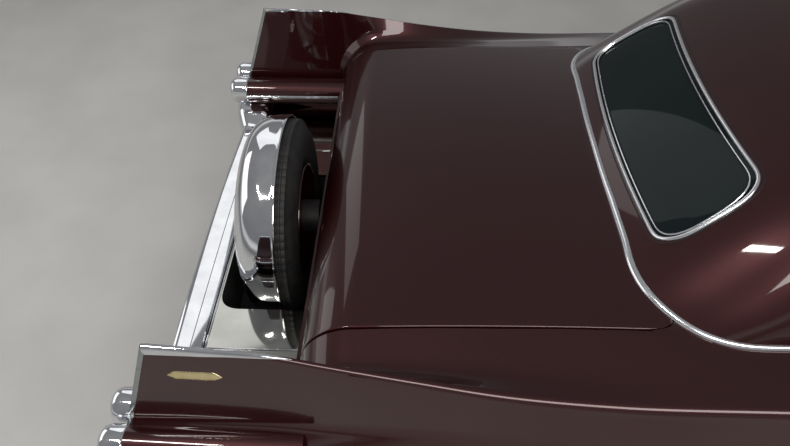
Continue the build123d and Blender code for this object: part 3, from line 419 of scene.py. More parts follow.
def through(rows, places):
    """Smooth values of every column at the places, drawn through rows whose first column is the place."""
    table = np.array(sorted(rows), float)
    knots = table[:, 0]
    slope = np.gradient(table, knots, axis=0)
    places = np.atleast_1d(np.asarray(places, float))
    i = np.clip(np.searchsorted(knots, places) - 1, 0, len(knots) - 2)
    step = (knots[i + 1] - knots[i])[:, None]
    t = (places[:, None] - knots[i][:, None]) / step
    start = (2 * t**3 - 3 * t**2 + 1) * table[i] + (t**3 - 2 * t**2 + t) * slope[i] * step
    end = (3 * t**2 - 2 * t**3) * table[i + 1] + (t**3 - t**2) * slope[i + 1] * step
    return start + end


def circle_through(a, b, c):
    """Centre and radius of the circle through three points of a plane."""
    (ax, ay), (bx, by), (cx, cy) = a, b, c
    d = 2 * (ax * (by - cy) + bx * (cy - ay) + cx * (ay - by))
    aa = ax**2 + ay**2
    bb = bx**2 + by**2
    cc = cx**2 + cy**2
    ux = (aa * (by - cy) + bb * (cy - ay) + cc * (ay - by)) / d
    uy = (aa * (cx - bx) + bb * (ax - cx) + cc * (bx - ax)) / d
    return (ux, uy), math.hypot(ax - ux, ay - uy)


def bend(a, corner, b, steps):
    """Points of a short curve that eases a corner."""
    t = np.linspace(0, 1, steps)[:, None]
    return (1 - t) ** 2 * np.array(a) + 2 * t * (1 - t) * np.array(corner) + t * t * np.array(b)


def toward(a, b, reach):
    """The point that lies reach from a on the way to b."""
    a = np.array(a, float)
    way = np.array(b, float) - a
    return a + way / np.linalg.norm(way) * reach


def side_slice(x, low=None, high=None):
    """Points (y, z) of the left side at x, from low to the inner edge, or to high under the valley."""
    row = through(SIDE_ROWS, x)[0]
    _, sill_y, sill_z, wide_y, val_y, val_z, crest_y, crest_z, edge, root_y, root_z, in_y, in_z = row
    centre, radius = circle_through((sill_y, sill_z), (wide_y, WIDEST_Z), (val_y, val_z))

    def height_angle(z):
        return math.asin(max(-1, min(1, (z - centre[1]) / radius)))

    start = height_angle(sill_z if low is None else low)
    stop = height_angle(val_z - VALLEY_EASE if high is None else high)
    sweep = np.linspace(start, stop, 26)
    belly = np.stack([centre[0] + radius * np.cos(sweep), centre[1] + radius * np.sin(sweep)], -1)
    if high is not None:
        return belly
    shoulder = (crest_y, crest_z - edge)
    crest = (crest_y - edge, crest_z)
    above = toward((val_y, val_z), shoulder, VALLEY_EASE)
    valley = bend(belly[-1], (val_y, val_z), above, 9)[1:]
    flank = np.linspace(above, shoulder, 7)[1:]
    turn = np.linspace(0, math.pi / 2, 9)[1:]
    lip = np.stack([crest_y - edge + edge * np.cos(turn), crest_z - edge + edge * np.sin(turn)], -1)
    root_reach = min(ROOT_EASE, 0.4 * math.dist(crest, (root_y, root_z)))
    before = toward((root_y, root_z), crest, root_reach)
    after = toward((root_y, root_z), (in_y, in_z), ROOT_EASE)
    slope = np.linspace(crest, before, 5)[1:]
    root = bend(before, (root_y, root_z), after, 8)[1:]
    ledge = np.linspace(after, (in_y, in_z), 5)[1:]
    return np.concatenate([belly, valley, flank, lip, slope, root, ledge])


def smooth(a, b, value):
    """0 below a, 1 above b, and a soft step between."""
    t = np.clip((np.asarray(value, float) - a) / (b - a), 0, 1)
    return t * t * (3 - 2 * t)


CREST = 25 + 8 + 6 + 8          # column where the rounded edge ends, on top of the crest
FACE_FOOT = CREST + 4           # column where the inner slope starts to bend into the ledge
print("slice points", len(side_slice(0.0)), "crest at", side_slice(0.0)[CREST])

# %% [markdown]
# The trunk lid and the hood are crowned: high in the middle and low at the sides. A circle through
# the middle and both edges gives that crown at every place, and the body beside the lid reads its
# height from the same rule, so that the two stay flush along the shut line.

# %% Crowns of lid, hood and cowl
LID_CROWN_HALF = 0.777
LID_ROWS = [(-1.280, 1.004, .950), (-1.600, .996, .951), (-1.950, .975, .943), (-2.258, .955, .926)]
LID_HALF = 0.751
# y and x of the lid's front edge: it runs under the belt moulding and ends in a rounded corner
LID_FRONT = [(0, -1.370), (.200, -1.365), (.330, -1.357), (.466, -1.343), (.560, -1.334),
             (.610, -1.322), (.660, -1.294), (.700, -1.273), (.724, -1.272), (.738, -1.282),
             (.747, -1.304), (.751, -1.336)]


def lid_front(y, gap=0.0):
    """Front edge of the trunk lid, or a line a gap ahead of it."""
    halves, places = np.array(LID_FRONT).T
    return float(np.interp(abs(y), halves, places)) + gap


WALL_FOOT = (WALL_X, 0.545)
SHOULDER_R = 0.163              # radius of the soft shoulder at the rear of the deck
SHOULDER_X = -2.113


def crown(middle, edge, half, y):
    """Height at y of a circle through the middle and both edges."""
    rise = middle - edge
    radius = (half**2 + rise**2) / (2 * rise)
    inside = np.minimum(np.asarray(y, float) ** 2, half**2 * 1.2)
    return middle - radius + np.sqrt(radius**2 - inside)


def deck_z(x, y):
    """Height of the deck's crowned surface, carried on a little past the lid's edges."""
    _, middle, edge = through(LID_ROWS, x)[0]
    return crown(middle, edge, LID_CROWN_HALF, y)


def over_the_edge(start_z, run, sink=0.0):
    """Place (x, z) a run past the deck's end: round the shoulder and down the wall, under the skin."""
    quarter_turn = SHOULDER_R * math.pi / 2
    if run <= quarter_turn:
        angle = run / SHOULDER_R
        radius = SHOULDER_R - sink
        return SHOULDER_X - radius * math.sin(angle), start_z - SHOULDER_R + radius * math.cos(angle)
    top = start_z - SHOULDER_R
    share = (run - quarter_turn) / (top - WALL_FOOT[1])
    x = SHOULDER_X - SHOULDER_R
    return x + (WALL_FOOT[0] - x) * share + sink, top + (WALL_FOOT[1] - top) * share


print("deck height", float(deck_z(-1.8, 0.0)), "wall top", over_the_edge(0.93, 0.3))

# %% [markdown]
# Fender, door, sill and quarter are cut from the one body side. On the real car each is pressed by
# itself, and the shut lines show because the sheet folds in at its edges. Each is a sheet here: it
# follows the slices between its shut lines, and where a wheel stands, its lower edge follows the
# arch.

# %% Side panels
PANEL = 0.018
FENDER_REAR = 0.810
FENDER_FRONT = NOSE_X - 0.05
SILL_FRONT = 0.812
DOOR_FRONT = 0.800
DOOR_REAR = -0.560
QUARTER_FRONT = -0.566
DOOR_LOW = 0.366
SILL_HIGH = 0.360
FRONT_ARCH = (FRONT_AXLE, 0.420, 0.365)
REAR_ARCH = (REAR_AXLE, 0.405, 0.310)


def stations(front, rear, arch=None, spacing=0.018):
    """Places along a panel from front to rear, each with the height where the panel starts there."""
    def plain(a, b):
        return [(x, None) for x in np.linspace(a, b, max(2, int(abs(a - b) / spacing) + 1))]

    if arch is None:
        return plain(front, rear)
    axle, radius, centre = arch
    over = [(axle + radius * math.cos(a), centre + radius * math.sin(a))
            for a in np.linspace(0, math.pi, 61)]
    return plain(front, axle + radius + 0.001) + over + plain(axle - radius - 0.001, rear)


def side_grid(places, low=None, high=None):
    """Grid of the left body side over a run of stations."""
    rows = []
    for x, start in places:
        points = side_slice(x, low if start is None else start, high)
        rows.append([(x, y, z) for y, z in points])
    return np.array(rows)


fender_grid = side_grid(stations(FENDER_FRONT, FENDER_REAR, FRONT_ARCH))
door_grid = side_grid(stations(DOOR_FRONT, DOOR_REAR), low=DOOR_LOW)
sill_grid = side_grid(stations(SILL_FRONT, QUARTER_FRONT), high=SILL_HIGH)
quarter_grid = side_grid(stations(QUARTER_FRONT, SHOULDER_X, REAR_ARCH))
print("quarter", quarter_grid.shape, "door", door_grid.shape)

# %% [markdown]
# Behind the trunk the side rises into a fin. Its outer face carries the side on, and its rear edge
# is raked. Its inner face is flat, and turns with a soft cove into the wall ahead of the spare
# wheel. A cove between two panels could be a bevel on a boolean, but the corner is three-way, so its
# parts are laid one by one: the shoulder's last slice rolls down the wall, and the fin's face is
# drawn between that cove and the rim of the fin.

# %% Fin
FIN_TIP = (-2.622, 1.040)
FIN_FOOT = (-2.735, 0.702)
FACE_LOW = 0.655
FACE_Y = 0.888
LOW_END_X = -2.560
TAIL_END_X = -2.745


def rake_x(z):
    """Rear end of the fin at a height."""
    if z >= FIN_FOOT[1]:
        share = (z - FIN_FOOT[1]) / (FIN_TIP[1] - FIN_FOOT[1])
        return FIN_FOOT[0] + (FIN_TIP[0] - FIN_FOOT[0]) * share
    share = min(1.0, max(0.0, (z - 0.600) / 0.030))
    return LOW_END_X + (FIN_FOOT[0] - LOW_END_X) * share


def tail_grid(columns):
    """The outer face from the roll to the raked end, for some columns of the slice."""
    dense = np.linspace(SHOULDER_X, TAIL_END_X, 60)
    slices = np.array([side_slice(x) for x in dense])[:, columns]
    ends = np.array([rake_x(z) for z in slices[-12, :, 1]])
    rows = []
    for share in np.linspace(0, 1, 32):
        xs = SHOULDER_X + share * (ends - SHOULDER_X)
        ys = [np.interp(-x, -dense, slices[:, j, 0]) for j, x in enumerate(xs)]
        zs = [np.interp(-x, -dense, slices[:, j, 1]) for j, x in enumerate(xs)]
        rows.append(np.stack([xs, ys, zs], -1))
    return np.array(rows)


def face_y(x, z):
    """The fin's flat inner face."""
    _, *row = through(SIDE_ROWS, x)[0]
    top_y = row[5] - row[7]
    return FACE_Y + (top_y - FACE_Y) * (z - FACE_LOW) / (row[6] - FACE_LOW)


def wall_grid(rows):
    """The shoulder's last slice, rolled over and carried down the wall."""
    last = quarter_grid[-1, FACE_FOOT:]
    line = np.polyfit(last[-8:, 1], last[-8:, 2], 1)
    ledge = np.polyval(line, last[:, 1])
    above = last[:, 2] - ledge
    whole = SHOULDER_R * math.pi / 2 + (ledge.mean() - SHOULDER_R - WALL_FOOT[1])
    made = []
    for run in np.linspace(0, whole, rows):
        row = [over_the_edge(z, run, -up) for z, up in zip(ledge, above)]
        made.append([(x, y, z) for (x, z), y in zip(row, last[:, 1])])
    return np.array(made)


outer_tail = tail_grid(slice(0, CREST + 1))
FACE_ROWS = 48
wall = wall_grid(FACE_ROWS)
rake_zs = np.linspace(FIN_TIP[1], FACE_LOW - 0.04, FACE_ROWS - 31)[1:]
rake_line = [(rake_x(max(z, 0.64)), float(face_y(-2.70, z)), z) for z in rake_zs]
rim = np.concatenate([outer_tail[:, -1], rake_line])
settle = smooth(0, 16, np.arange(FACE_ROWS))
flat_y = np.array([float(face_y(x, z)) for x, _, z in wall[:, 0]])
wall[:, 0, 1] = wall[:, 0, 1] * (1 - settle) + flat_y * settle
shares = np.linspace(0, 1, 9)[None, :, None]
face = rim[:, None, :] * (1 - shares) + wall[:, None, 0, :] * shares
flat_ys = np.array([[float(face_y(x, z)) for x, _, z in row] for row in face])
face[:, 1:-1, 1] = (face[..., 1] * (1 - settle[:, None]) + flat_ys * settle[:, None])[:, 1:-1]
TUBE_R = 0.057
POD_R = 0.0555
POD_START = -2.729
REAR_X = cad_box[0][0]
TUBES = [(0.841, 0.671, REAR_X), (0.966, 0.679, REAR_X + 0.007)]
tubes = [turned([(0.001, POD_START), (TUBE_R - 0.003, POD_START), (TUBE_R, POD_START + 0.003),
                 (TUBE_R, WALL_X + 0.05)], (0, y, z), (1, 0, 0)) for y, z, _ in TUBES]
print("fin face", face.shape, "wall", wall.shape)

# %% [markdown]
# Now the side panels are made. The quarter joins the panel proper, the fin's two faces, the wall
# and the two round tubes that lead to the tail pods: on the real car they are welded and leaded
# into one part.

# %% Make the side panels
FIN_SHEET = 0.004
quarter = join(sheet(quarter_grid, PANEL), sheet(outer_tail, FIN_SHEET), sheet(wall, FIN_SHEET),
               sheet(face, FIN_SHEET), *tubes)
pair("quarter_panel", quarter, PAINT, "body", "paint", ["quarter_SIDE"])
pair("fender_panel", sheet(fender_grid, PANEL), PAINT, "body", "paint", ["fender_SIDE"])
DOOR_INNER = 0.768
UNDER_ROOF = 0.816


def closed_door():
    """The door with its inner face: each slice is closed, and both ends are capped."""
    rows = []
    for row in door_grid:
        outer = row[row[:, 1] >= UNDER_ROOF]
        last = outer[-1]
        x, _, z = last
        inner = [(x, UNDER_ROOF - 0.004, z - 0.006), (x, DOOR_INNER + 0.004, z - 0.008),
                 (x, DOOR_INNER, z - 0.014), (x, DOOR_INNER, DOOR_LOW)]
        rows.append(np.concatenate([outer, inner]))
    size = min(len(row) for row in rows)
    return capped(np.array([np.concatenate([row[:size - 4], row[-4:]]) for row in rows]))


pair("door_panel", closed_door(), PAINT, "door_SIDE", "paint", ["door_SIDE"])
TUB_R = 0.440


def wheelhouse(axle, inner_y, outer_y, low, closed):
    """The dark tub over a wheel, with a closing plate on its inner side where the tub is narrow."""
    start = math.asin((low - TYRE_R) / TUB_R)
    turn = np.linspace(start, math.pi - start, 40)
    arch = np.stack([axle + TUB_R * np.cos(turn), TYRE_R + TUB_R * np.sin(turn)], -1)
    tub = sheet(np.array([[(x, y, z) for y in (outer_y, inner_y)] for x, z in arch]), 0.004)
    if not closed:
        return tub
    plate = slab(*[[(x, y, z) for x, z in arch] for y in (inner_y, inner_y + 0.004)])
    return join(tub, plate)


pair("rear_wheelhouse", wheelhouse(REAR_AXLE, 0.600, 0.930, 0.430, True), FRAME_BLACK)
pair("front_wheelhouse", wheelhouse(FRONT_AXLE, 0.520, 0.930, 0.600, False), FRAME_BLACK)
piece("sill_panels", both(sheet(sill_grid, 0.03)), PAINT, "body", "paint", ["sills"])

# %% [markdown]
# The trunk lid is a crowned sheet that rolls over the tail's soft shoulder. Its rows run from the
# bowed front edge to the foot of the rear face, and its columns across the car. The edges turn in
# by a tight fold, and that fold is what draws the dark shut line between two panels of the same
# colour.


# %% Trunk lid
def fold_columns(half, edge, hem, inside):
    """Columns across a panel from its middle to its edge: (y, depth under the skin)."""
    flat = [(y, 0.0) for y in np.linspace(0, half - edge, inside)]
    turn = [(half - edge + edge * math.sin(a), edge * (1 - math.cos(a)))
            for a in np.linspace(0, math.pi / 2, 6)]
    return flat + turn[1:] + [(half, edge + hem)]


LID_FOLD = 0.005
LID_HEM = 0.016
LID_SHEET = 0.004


def lid_shape():
    """Left half of the trunk lid as a sheet."""
    columns = fold_columns(LID_HALF, LID_FOLD, LID_HEM, 80)
    shares = np.linspace(0, 1, 52)
    rows = [[] for _ in range(3 + len(shares))]
    end_run = SHOULDER_R * math.pi / 2
    for y, sink in columns:
        front = lid_front(y)
        for row, down in enumerate((LID_HEM, LID_FOLD, 0.0015)):
            rows[row].append((front, y, float(deck_z(front, y)) - sink - down))
        for row, share in enumerate(shares):
            x = front - 0.003 + (SHOULDER_X - front + 0.003) * share
            rows[row + 3].append((x, y, float(deck_z(x, y)) - sink))
    round_runs = np.linspace(0, end_run, 31)[1:]
    wall_runs = end_run + np.linspace(0.003, 0.03, 4)
    for run in np.concatenate([round_runs, wall_runs]):
        row = [over_the_edge(float(deck_z(SHOULDER_X, y)), run, sink) for y, sink in columns]
        rows.append([(x, y, z) for (x, z), (y, _) in zip(row, columns)])
    return sheet(np.array(rows)[:, ::-1], LID_SHEET)


piece("trunk_lid", both(lid_shape()), PAINT, "decklid", "paint", ["decklid"])

# %% [markdown]
# The greenhouse is a stack of rings from the deck to the top of the roof. Each ring is a rounded
# rectangle with a bowed front and rear, and the rows of the table are drawn through smoothly. The
# openings are not cut with a boolean: the grid's points next to an opening are pulled onto its
# outline, so the sheet keeps clean shading.

# %% Greenhouse rings
# step, height, front x, front bow, side y, rear x, rear bow, front corner, rear corner
HOUSE_ROWS = [
    (-0.6, .900, 1.050, .055, .806, -1.462, .030, .300, .330),
    (0.0, .940, 1.026, .055, .801, -1.424, .030, .300, .330),
    (1.0, 1.043, .955, .055, .775, -1.312, .030, .300, .320),
    (2.0, 1.235, .735, .055, .705, -1.074, .030, .280, .280),
    (3.0, 1.380, .500, .050, .622, -.822, .026, .250, .250),
    (4.0, 1.452, .300, .040, .535, -.640, .020, .220, .210),
    (5.0, 1.483, .100, .026, .390, -.480, .014, .170, .160),
    (6.0, 1.4955, -.080, .010, .205, -.330, .006, .100, .100),
    (7.0, 1.4995, -.200, .0002, .010, -.232, .0002, .008, .008),
]
ROOF_THICK = 0.014


def bowed_end(half, bow, corner, straight=12, arc=15):
    """Quarter outline from the middle of a bowed end to its side: (depth from the end, y)."""
    flat = half - corner
    tilt = 0.0
    for _ in range(4):
        flat = half - corner + corner * math.sin(tilt)
        tilt = math.atan2(2 * bow, flat)
    ys = np.linspace(0, flat, straight)
    depth = bow * (ys / flat) ** 2
    centre = (depth[-1] + corner * math.cos(tilt), flat - corner * math.sin(tilt))
    turn = np.linspace(tilt, math.pi / 2, arc)[1:]
    points = np.stack([depth, ys], -1)
    curve = np.stack([centre[0] - corner * np.cos(turn), centre[1] + corner * np.sin(turn)], -1)
    return np.concatenate([points, curve])


def ring(step, inset=0.0, sides=44):
    """Left half of a ring from the front middle to the rear middle."""
    _, z, front_x, front_bow, side, rear_x, rear_bow, front_r, rear_r = through(HOUSE_ROWS, step)[0]
    side -= inset
    front = bowed_end(side, front_bow, max(front_r - inset, 0.001))
    rear = bowed_end(side, rear_bow, max(rear_r - inset, 0.001))
    front = np.stack([front_x - inset - front[:, 0], front[:, 1]], -1)
    rear = np.stack([rear_x + inset + rear[:, 0], rear[:, 1]], -1)[::-1]
    middle = np.linspace(front[-1], rear[0], sides)[1:-1]
    plan = np.concatenate([front, middle, rear])
    return np.column_stack([plan, np.full(len(plan), z)])


def house_grid(steps, inset=0.0):
    """The whole greenhouse surface. Rows run round it and columns run up."""
    left = np.array([ring(step, inset) for step in steps]).transpose(1, 0, 2)
    right = left[-2:0:-1] * (1, -1, 1)
    return np.concatenate([left, right])


HOUSE_STEPS = np.concatenate([np.linspace(-0.35, 1, 12), np.linspace(1, 3, 26)[1:],
                              np.linspace(3, 7, 26)[1:]])
house = house_grid(HOUSE_STEPS)
print("greenhouse", house.shape, "top", house[..., 2].max())

# %% [markdown]
# Each opening has an outline in a flat view: the windscreen from the front, the rear window from
# behind and the side windows from the side. Faces whose middle lies inside are dropped, and the
# points on the new rim slide along the surface onto the outline. The same rule, turned round, cuts
# the panes out of the same surface.


# %% Cut by outline
def densify(points, reach, spacing=0.012):
    """Closed outline with rounded corners and close points."""
    points = [np.asarray(p, float) for p in points]
    count = len(points)
    out = []
    for i in range(count):
        before, corner, after = points[i - 1], points[i], points[(i + 1) % count]
        a = toward(corner, before, min(reach, 0.45 * math.dist(corner, before)))
        b = toward(corner, after, min(reach, 0.45 * math.dist(corner, after)))
        out += list(bend(a, corner, b, 12))
    out = np.array(out)
    ahead = np.roll(out, -1, 0)
    dense = []
    for p, q in zip(out, ahead):
        steps = max(1, int(math.dist(p, q) / spacing))
        dense += [p + (q - p) * k / steps for k in range(steps)]
    return np.array(dense)


def inside(points, outline):
    """Which points of the plane lie in the outline."""
    x, y = points[:, 0, None], points[:, 1, None]
    ax, ay = outline[:, 0], outline[:, 1]
    bx, by = np.roll(ax, -1), np.roll(ay, -1)
    rise = np.where(by == ay, 1e-12, by - ay)
    crossing = ((ay > y) != (by > y)) & (x < (bx - ax) * (y - ay) / rise + ax)
    return crossing.sum(1) % 2 == 1


def nearest(points, outline):
    """Nearest places of an outline for some points."""
    start = outline[None]
    way = (np.roll(outline, -1, 0) - outline)[None]
    share = ((points[:, None] - start) * way).sum(2) / (way**2).sum(2)
    spots = start + np.clip(share, 0, 1)[..., None] * way
    best = ((spots - points[:, None]) ** 2).sum(2).argmin(1)
    return spots[np.arange(len(points)), best]


def clip(verts, faces, normals, outline, view, keep_inside, where):
    """Faces on one side of an outline, with the new rim laid on it. View names two axes."""
    verts = verts.copy()
    faces = np.asarray(faces)
    middle = verts[faces].mean(1)
    hit = inside(middle[:, view], outline) & where(middle)
    kept = hit if keep_inside else ~hit
    stays = np.zeros(len(verts), bool)
    goes = np.zeros(len(verts), bool)
    stays[faces[kept].ravel()] = True
    goes[faces[~kept].ravel()] = True
    rim = np.where(stays & goes & where(verts))[0]
    move = nearest(verts[rim][:, view], outline) - verts[rim][:, view]
    third = 3 - sum(view)
    n = normals[rim]
    steep = np.where(abs(n[:, third]) < 0.15, 0.15 * np.sign(n[:, third] + 1e-9), n[:, third])
    slide = -(n[:, view] * move).sum(1) / steep
    shift = np.zeros((len(rim), 3))
    shift[:, view] = move
    shift[:, third] = np.clip(slide, -0.02, 0.02)
    verts[rim] += shift
    return verts, faces[kept]


def shell(verts, faces, thick, normals):
    """Closed shell of any surface: the copy set inwards, and a band round every open edge."""
    faces = np.asarray(faces)
    count = len(verts)
    edges = np.concatenate([faces[:, [k, (k + 1) % 4]] for k in range(4)])
    edges = edges[edges[:, 0] != edges[:, 1]]
    key = np.sort(edges, 1)
    _, first, times = np.unique(key, axis=0, return_index=True, return_counts=True)
    rim = edges[first[times == 1]]
    rim = rim[np.linalg.norm(verts[rim[:, 0]] - verts[rim[:, 1]], axis=1) > 1e-6]
    band = np.column_stack([rim[:, 1], rim[:, 0], rim[:, 0] + count, rim[:, 1] + count])
    every = np.concatenate([faces, faces[:, ::-1] + count, band])
    return np.concatenate([verts, verts - normals * thick]), every.tolist()


REAR_VIEW = [1, 2]
SIDE_VIEW = [0, 2]
REAR_PANE = densify([(-.542, 1.043), (.542, 1.043), (.503, 1.235), (-.503, 1.235)], 0.075)
SCREEN_PANE = densify([(-.752, .972), (.752, .972), (.585, 1.385), (-.585, 1.385)], 0.05)
DOOR_PANE = densify([(.690, .955), (-.556, .955), (-.556, 1.352), (.330, 1.366)], 0.03)
QUARTER_PANE = densify([(-.562, .955), (-.960, .955), (-.800, 1.305), (-.730, 1.345),
                        (-.562, 1.352)], 0.03)
SIDE_PANE = densify([(.690, .955), (-.960, .955), (-.800, 1.305), (-.730, 1.345),
                     (.330, 1.366)], 0.03)


def house_surface(steps, inset=0.0):
    """Vertices, faces and normals of the greenhouse surface."""
    grid = house_grid(steps, inset)
    crest = np.broadcast_to(grid[:, -1].mean(0), (len(grid), 1, 3))
    grid = np.concatenate([grid, crest], 1)
    closed = np.concatenate([grid, grid[:1]])
    padded_rows = np.concatenate([grid[-1:], closed, grid[1:2]])
    normals = normals_of(padded_rows)[1:-2]
    normals[:, -1] = (0, 0, 1)
    rows, cols = grid.shape[:2]
    faces = np.array(quads(rows, cols, wrap_rows=True))
    return grid.reshape(-1, 3), faces, normals.reshape(-1, 3)


def at_rear(p):
    return p[:, 0] < -0.8


def at_front(p):
    return p[:, 0] > 0.2


def at_side(p):
    return abs(p[:, 1]) > 0.35


roof_verts, roof_faces, roof_normals = house_surface(HOUSE_STEPS)
OPENINGS = [(REAR_PANE, REAR_VIEW, at_rear), (SCREEN_PANE, REAR_VIEW, at_front),
            (SIDE_PANE, SIDE_VIEW, at_side)]
for outline, view, zone in OPENINGS:
    roof_verts, roof_faces = clip(roof_verts, roof_faces, roof_normals, outline, view, False, zone)
ARM_Y = 0.330
SLOT_HALF = 0.022
middle_x, middle_y, middle_z = roof_verts[roof_faces].mean(1).T
arm_slot = (abs(abs(middle_y) - ARM_Y) < SLOT_HALF) & (middle_z < 0.978) & (middle_x < -1.2)
roof_faces = roof_faces[~arm_slot]
piece("roof_skin", shell(roof_verts, roof_faces, ROOF_THICK, roof_normals), PAINT, "body", "paint",
      ["roof"])


def pane(outline, view, zone, grow, inset=0.010, thick=0.005):
    """A window pane cut from the greenhouse surface, a little under its skin."""
    centre = outline.mean(0)
    wide = centre + (outline - centre) * (1 + grow / np.abs(outline - centre).max(0))
    verts, faces, normals = house_surface(HOUSE_STEPS, inset)
    verts, faces = clip(verts, faces, normals, wide, view, True, zone)
    used, back = np.unique(faces, return_inverse=True)
    return shell(verts[used], back.reshape(-1, 4), thick, normals[used])


def left_side(p):
    return p[:, 1] > 0.35


# Rear pane: opaque and near black, its colour painted shade of the cabin behind the glass, not a see-through
# tint.
REAR_GLASS_SHADE = finish("rear_glass_painted_shade", srgb(20, 28, 29), srgb(24, 32, 33), 3, (0.02, 0.03),
                    specular_ior_level=0.12)
PANE_LAP = 0.004
piece("rear_pane", pane(REAR_PANE, REAR_VIEW, at_rear, PANE_LAP), REAR_GLASS_SHADE, "body",
      "dark_glass", ["rear_window"])
piece("windscreen", pane(SCREEN_PANE, REAR_VIEW, at_front, PANE_LAP), GLASS, "body", "glass",
      ["windshield"])
pair("door_window", pane(DOOR_PANE, SIDE_VIEW, left_side, PANE_LAP), GLASS, "door_SIDE", "glass",
     ["door_glass_SIDE"])
quarter_pane = pane(QUARTER_PANE, SIDE_VIEW, left_side, PANE_LAP)
piece("quarter_panes", both(quarter_pane), GLASS, "body", "glass", ["quarter_windows"])
liner = shell(roof_verts - roof_normals * (ROOF_THICK + 0.001), roof_faces, 0.008, roof_normals)
HEADLINER = finish("headliner_cloth", srgb(150, 138, 118), srgb(164, 152, 132), 30, (0.85, 0.95), 0.8, 700)
piece("headliner", liner, HEADLINER)

# %% [markdown]
# Between the lid and the foot of the greenhouse lies a narrow strip of deck. It is one patch with
# the deck's crown, running in under the moulding that hides the greenhouse's foot. A short tongue
# fills the corner between the lid's side and the quarter, where the quarter's inner edge swings
# out.

# %% Deck strip
DECK_INNER = 0.50
DECK_FRONT = -0.92
DECK_SINK = 0.0006
DECK_SHEET = 0.006


def deck_edge(x):
    """Inner edge (y, z) of the body side at x."""
    return through(SIDE_ROWS, x)[0][-2:]


deck_rows = []
for share in np.linspace(0, 1, 40):
    edge_y, edge_z = deck_edge(DECK_FRONT + (-1.30 - DECK_FRONT) * share)
    row = []
    for y in np.linspace(edge_y + 0.003, DECK_INNER, 40):
        x = DECK_FRONT + (lid_front(min(y, LID_HALF), 0.006) - DECK_FRONT) * share
        z = float(edge_z + (deck_z(-1.4, y) - deck_z(-1.4, edge_y))) - DECK_SINK
        row.append((x, y, z))
    deck_rows.append(row)
tongue_rows = []
for x in np.linspace(-1.329, -1.470, 24):
    edge_y, edge_z = deck_edge(x)
    ys = np.linspace(edge_y + 0.003, LID_HALF + 0.0035, 4)
    tongue_rows.append([(x, y, float(edge_z) - DECK_SINK) for y in ys])
deck_half = join(sheet(np.array(deck_rows), DECK_SHEET), sheet(np.array(tongue_rows), DECK_SHEET))
piece("deck_strip", both(deck_half), PAINT, "body", "paint")

# %% [markdown]
# The hood is crowned like the trunk lid and rolls down over the grille. The cowl is the fixed panel
# behind it, and the nose panels close the fenders round the headlamps. A fender's nose could be
# spun round the lamp, but here it is a flat fascia, and a bright ring and the lens sit on it.

# %% Hood, cowl and nose
HOOD_REAR = 1.112
HOOD_FRONT = 2.586
# x, half width, height at the edge, height in the middle
HOOD_SHAPE = [(1.00, .700, .949, 1.007), (HOOD_REAR, .700, .949, 1.004),
              (FRONT_AXLE, .675, .920, .985), (2.250, .660, .905, .966), (2.590, .636, .868, .915)]
COWL_SHAPE = [(.870, .700, .952, 1.012), (1.000, .700, .950, 1.008), (1.106, .700, .949, 1.004)]


def crowned_grid(shape, places, gap, columns):
    """Left half of a crowned panel with tight folds along its side."""
    rows = []
    for x in places:
        _, half, edge, middle = through(shape, x)[0]
        flat = fold_columns(half - gap, 0.006, 0.014, columns)
        rows.append([(x, y, float(crown(middle, edge, half, y)) - sink) for y, sink in flat])
    return np.array(rows)


def rolled_nose(grid, radius, drop):
    """Carry the first row of a panel over a roll and straight down."""
    first = grid[0]
    angles = np.linspace(math.pi / 2, 0, 12)[:-1]
    rows = []
    for z in np.linspace(drop, 0, 5):
        rows.append(first + np.array([radius, 0, -radius - z]))
    for a in angles[::-1]:
        rows.append(first + np.array([radius * math.sin(a), 0, -radius * (1 - math.cos(a))]))
    order = rows[:5] + rows[5:][::-1]
    return np.concatenate([np.array(order), grid[1:]])


HOOD_ROLL = 0.030
hood_grid = crowned_grid(HOOD_SHAPE, np.linspace(HOOD_FRONT - HOOD_ROLL, HOOD_REAR, 64), 0.006, 34)
hood_grid = rolled_nose(hood_grid, HOOD_ROLL, 0.014)
piece("hood_panel", both(sheet(hood_grid[:, ::-1], 0.004)), PAINT, "hood", "paint", ["hood"])
cowl_grid = crowned_grid(COWL_SHAPE, np.linspace(1.091, .872, 12), 0.004, 30)
cowl_skin = both(sheet(cowl_grid[:, ::-1], 0.006))
wall_low, wall_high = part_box("cowl")
bulkhead = block((1.000, wall_low[1], 0.470), (1.016, wall_high[1], 0.945))
under_screen = block((0.815, -0.755, 0.932), (1.010, 0.755, 0.944))
piece("cowl_panel", join(cowl_skin, bulkhead, under_screen), PAINT, "body", "paint", ["cowl"])
piece("hood_seal", block((1.082, -0.690, 0.905), (1.104, 0.690, 0.935), 0.006, 3), SEAL_AND_SHADE)


def rib(spots, wide=0.060, deep=0.012):
    """A pressed rib on the underside of a lid, along some places on its skin."""
    profile = [(-wide / 2, 0), (-wide / 3, -deep), (wide / 3, -deep), (wide / 2, 0)]
    return swept(np.array(spots) - (0, 0, 0.005), profile)


def hood_at(x, y):
    """Height of the hood's skin."""
    _, half, edge, middle = through(HOOD_SHAPE, x)[0]
    return float(crown(middle, edge, half, y))


def ribs(height, xs, ys, cross_xs, half):
    """Ribs along the car at some ys, and across it at some xs, under a skin of that height."""
    made = [rib([(x, y, height(x, y)) for x in xs]) for y in ys]
    across = np.linspace(-half, half, 30)
    return join(*made, *[rib([(x, y, height(x, y)) for y in across]) for x in cross_xs])


def deck_at(x, y):
    """Height of the trunk lid's skin."""
    return float(deck_z(x, y))


hood_ribs = ribs(hood_at, np.linspace(1.18, 2.48, 30), (-.52, -.24, .24, .52), (1.20, 1.85, 2.46), .56)
piece("hood_ribs", hood_ribs, PAINT, "hood")
lid_ribs = ribs(deck_at, np.linspace(-1.44, -2.06, 24), (-.66, -.33, .33, .66),
                (-1.45, -1.75, -2.05), .69)
piece("lid_ribs", lid_ribs, PAINT, "decklid")

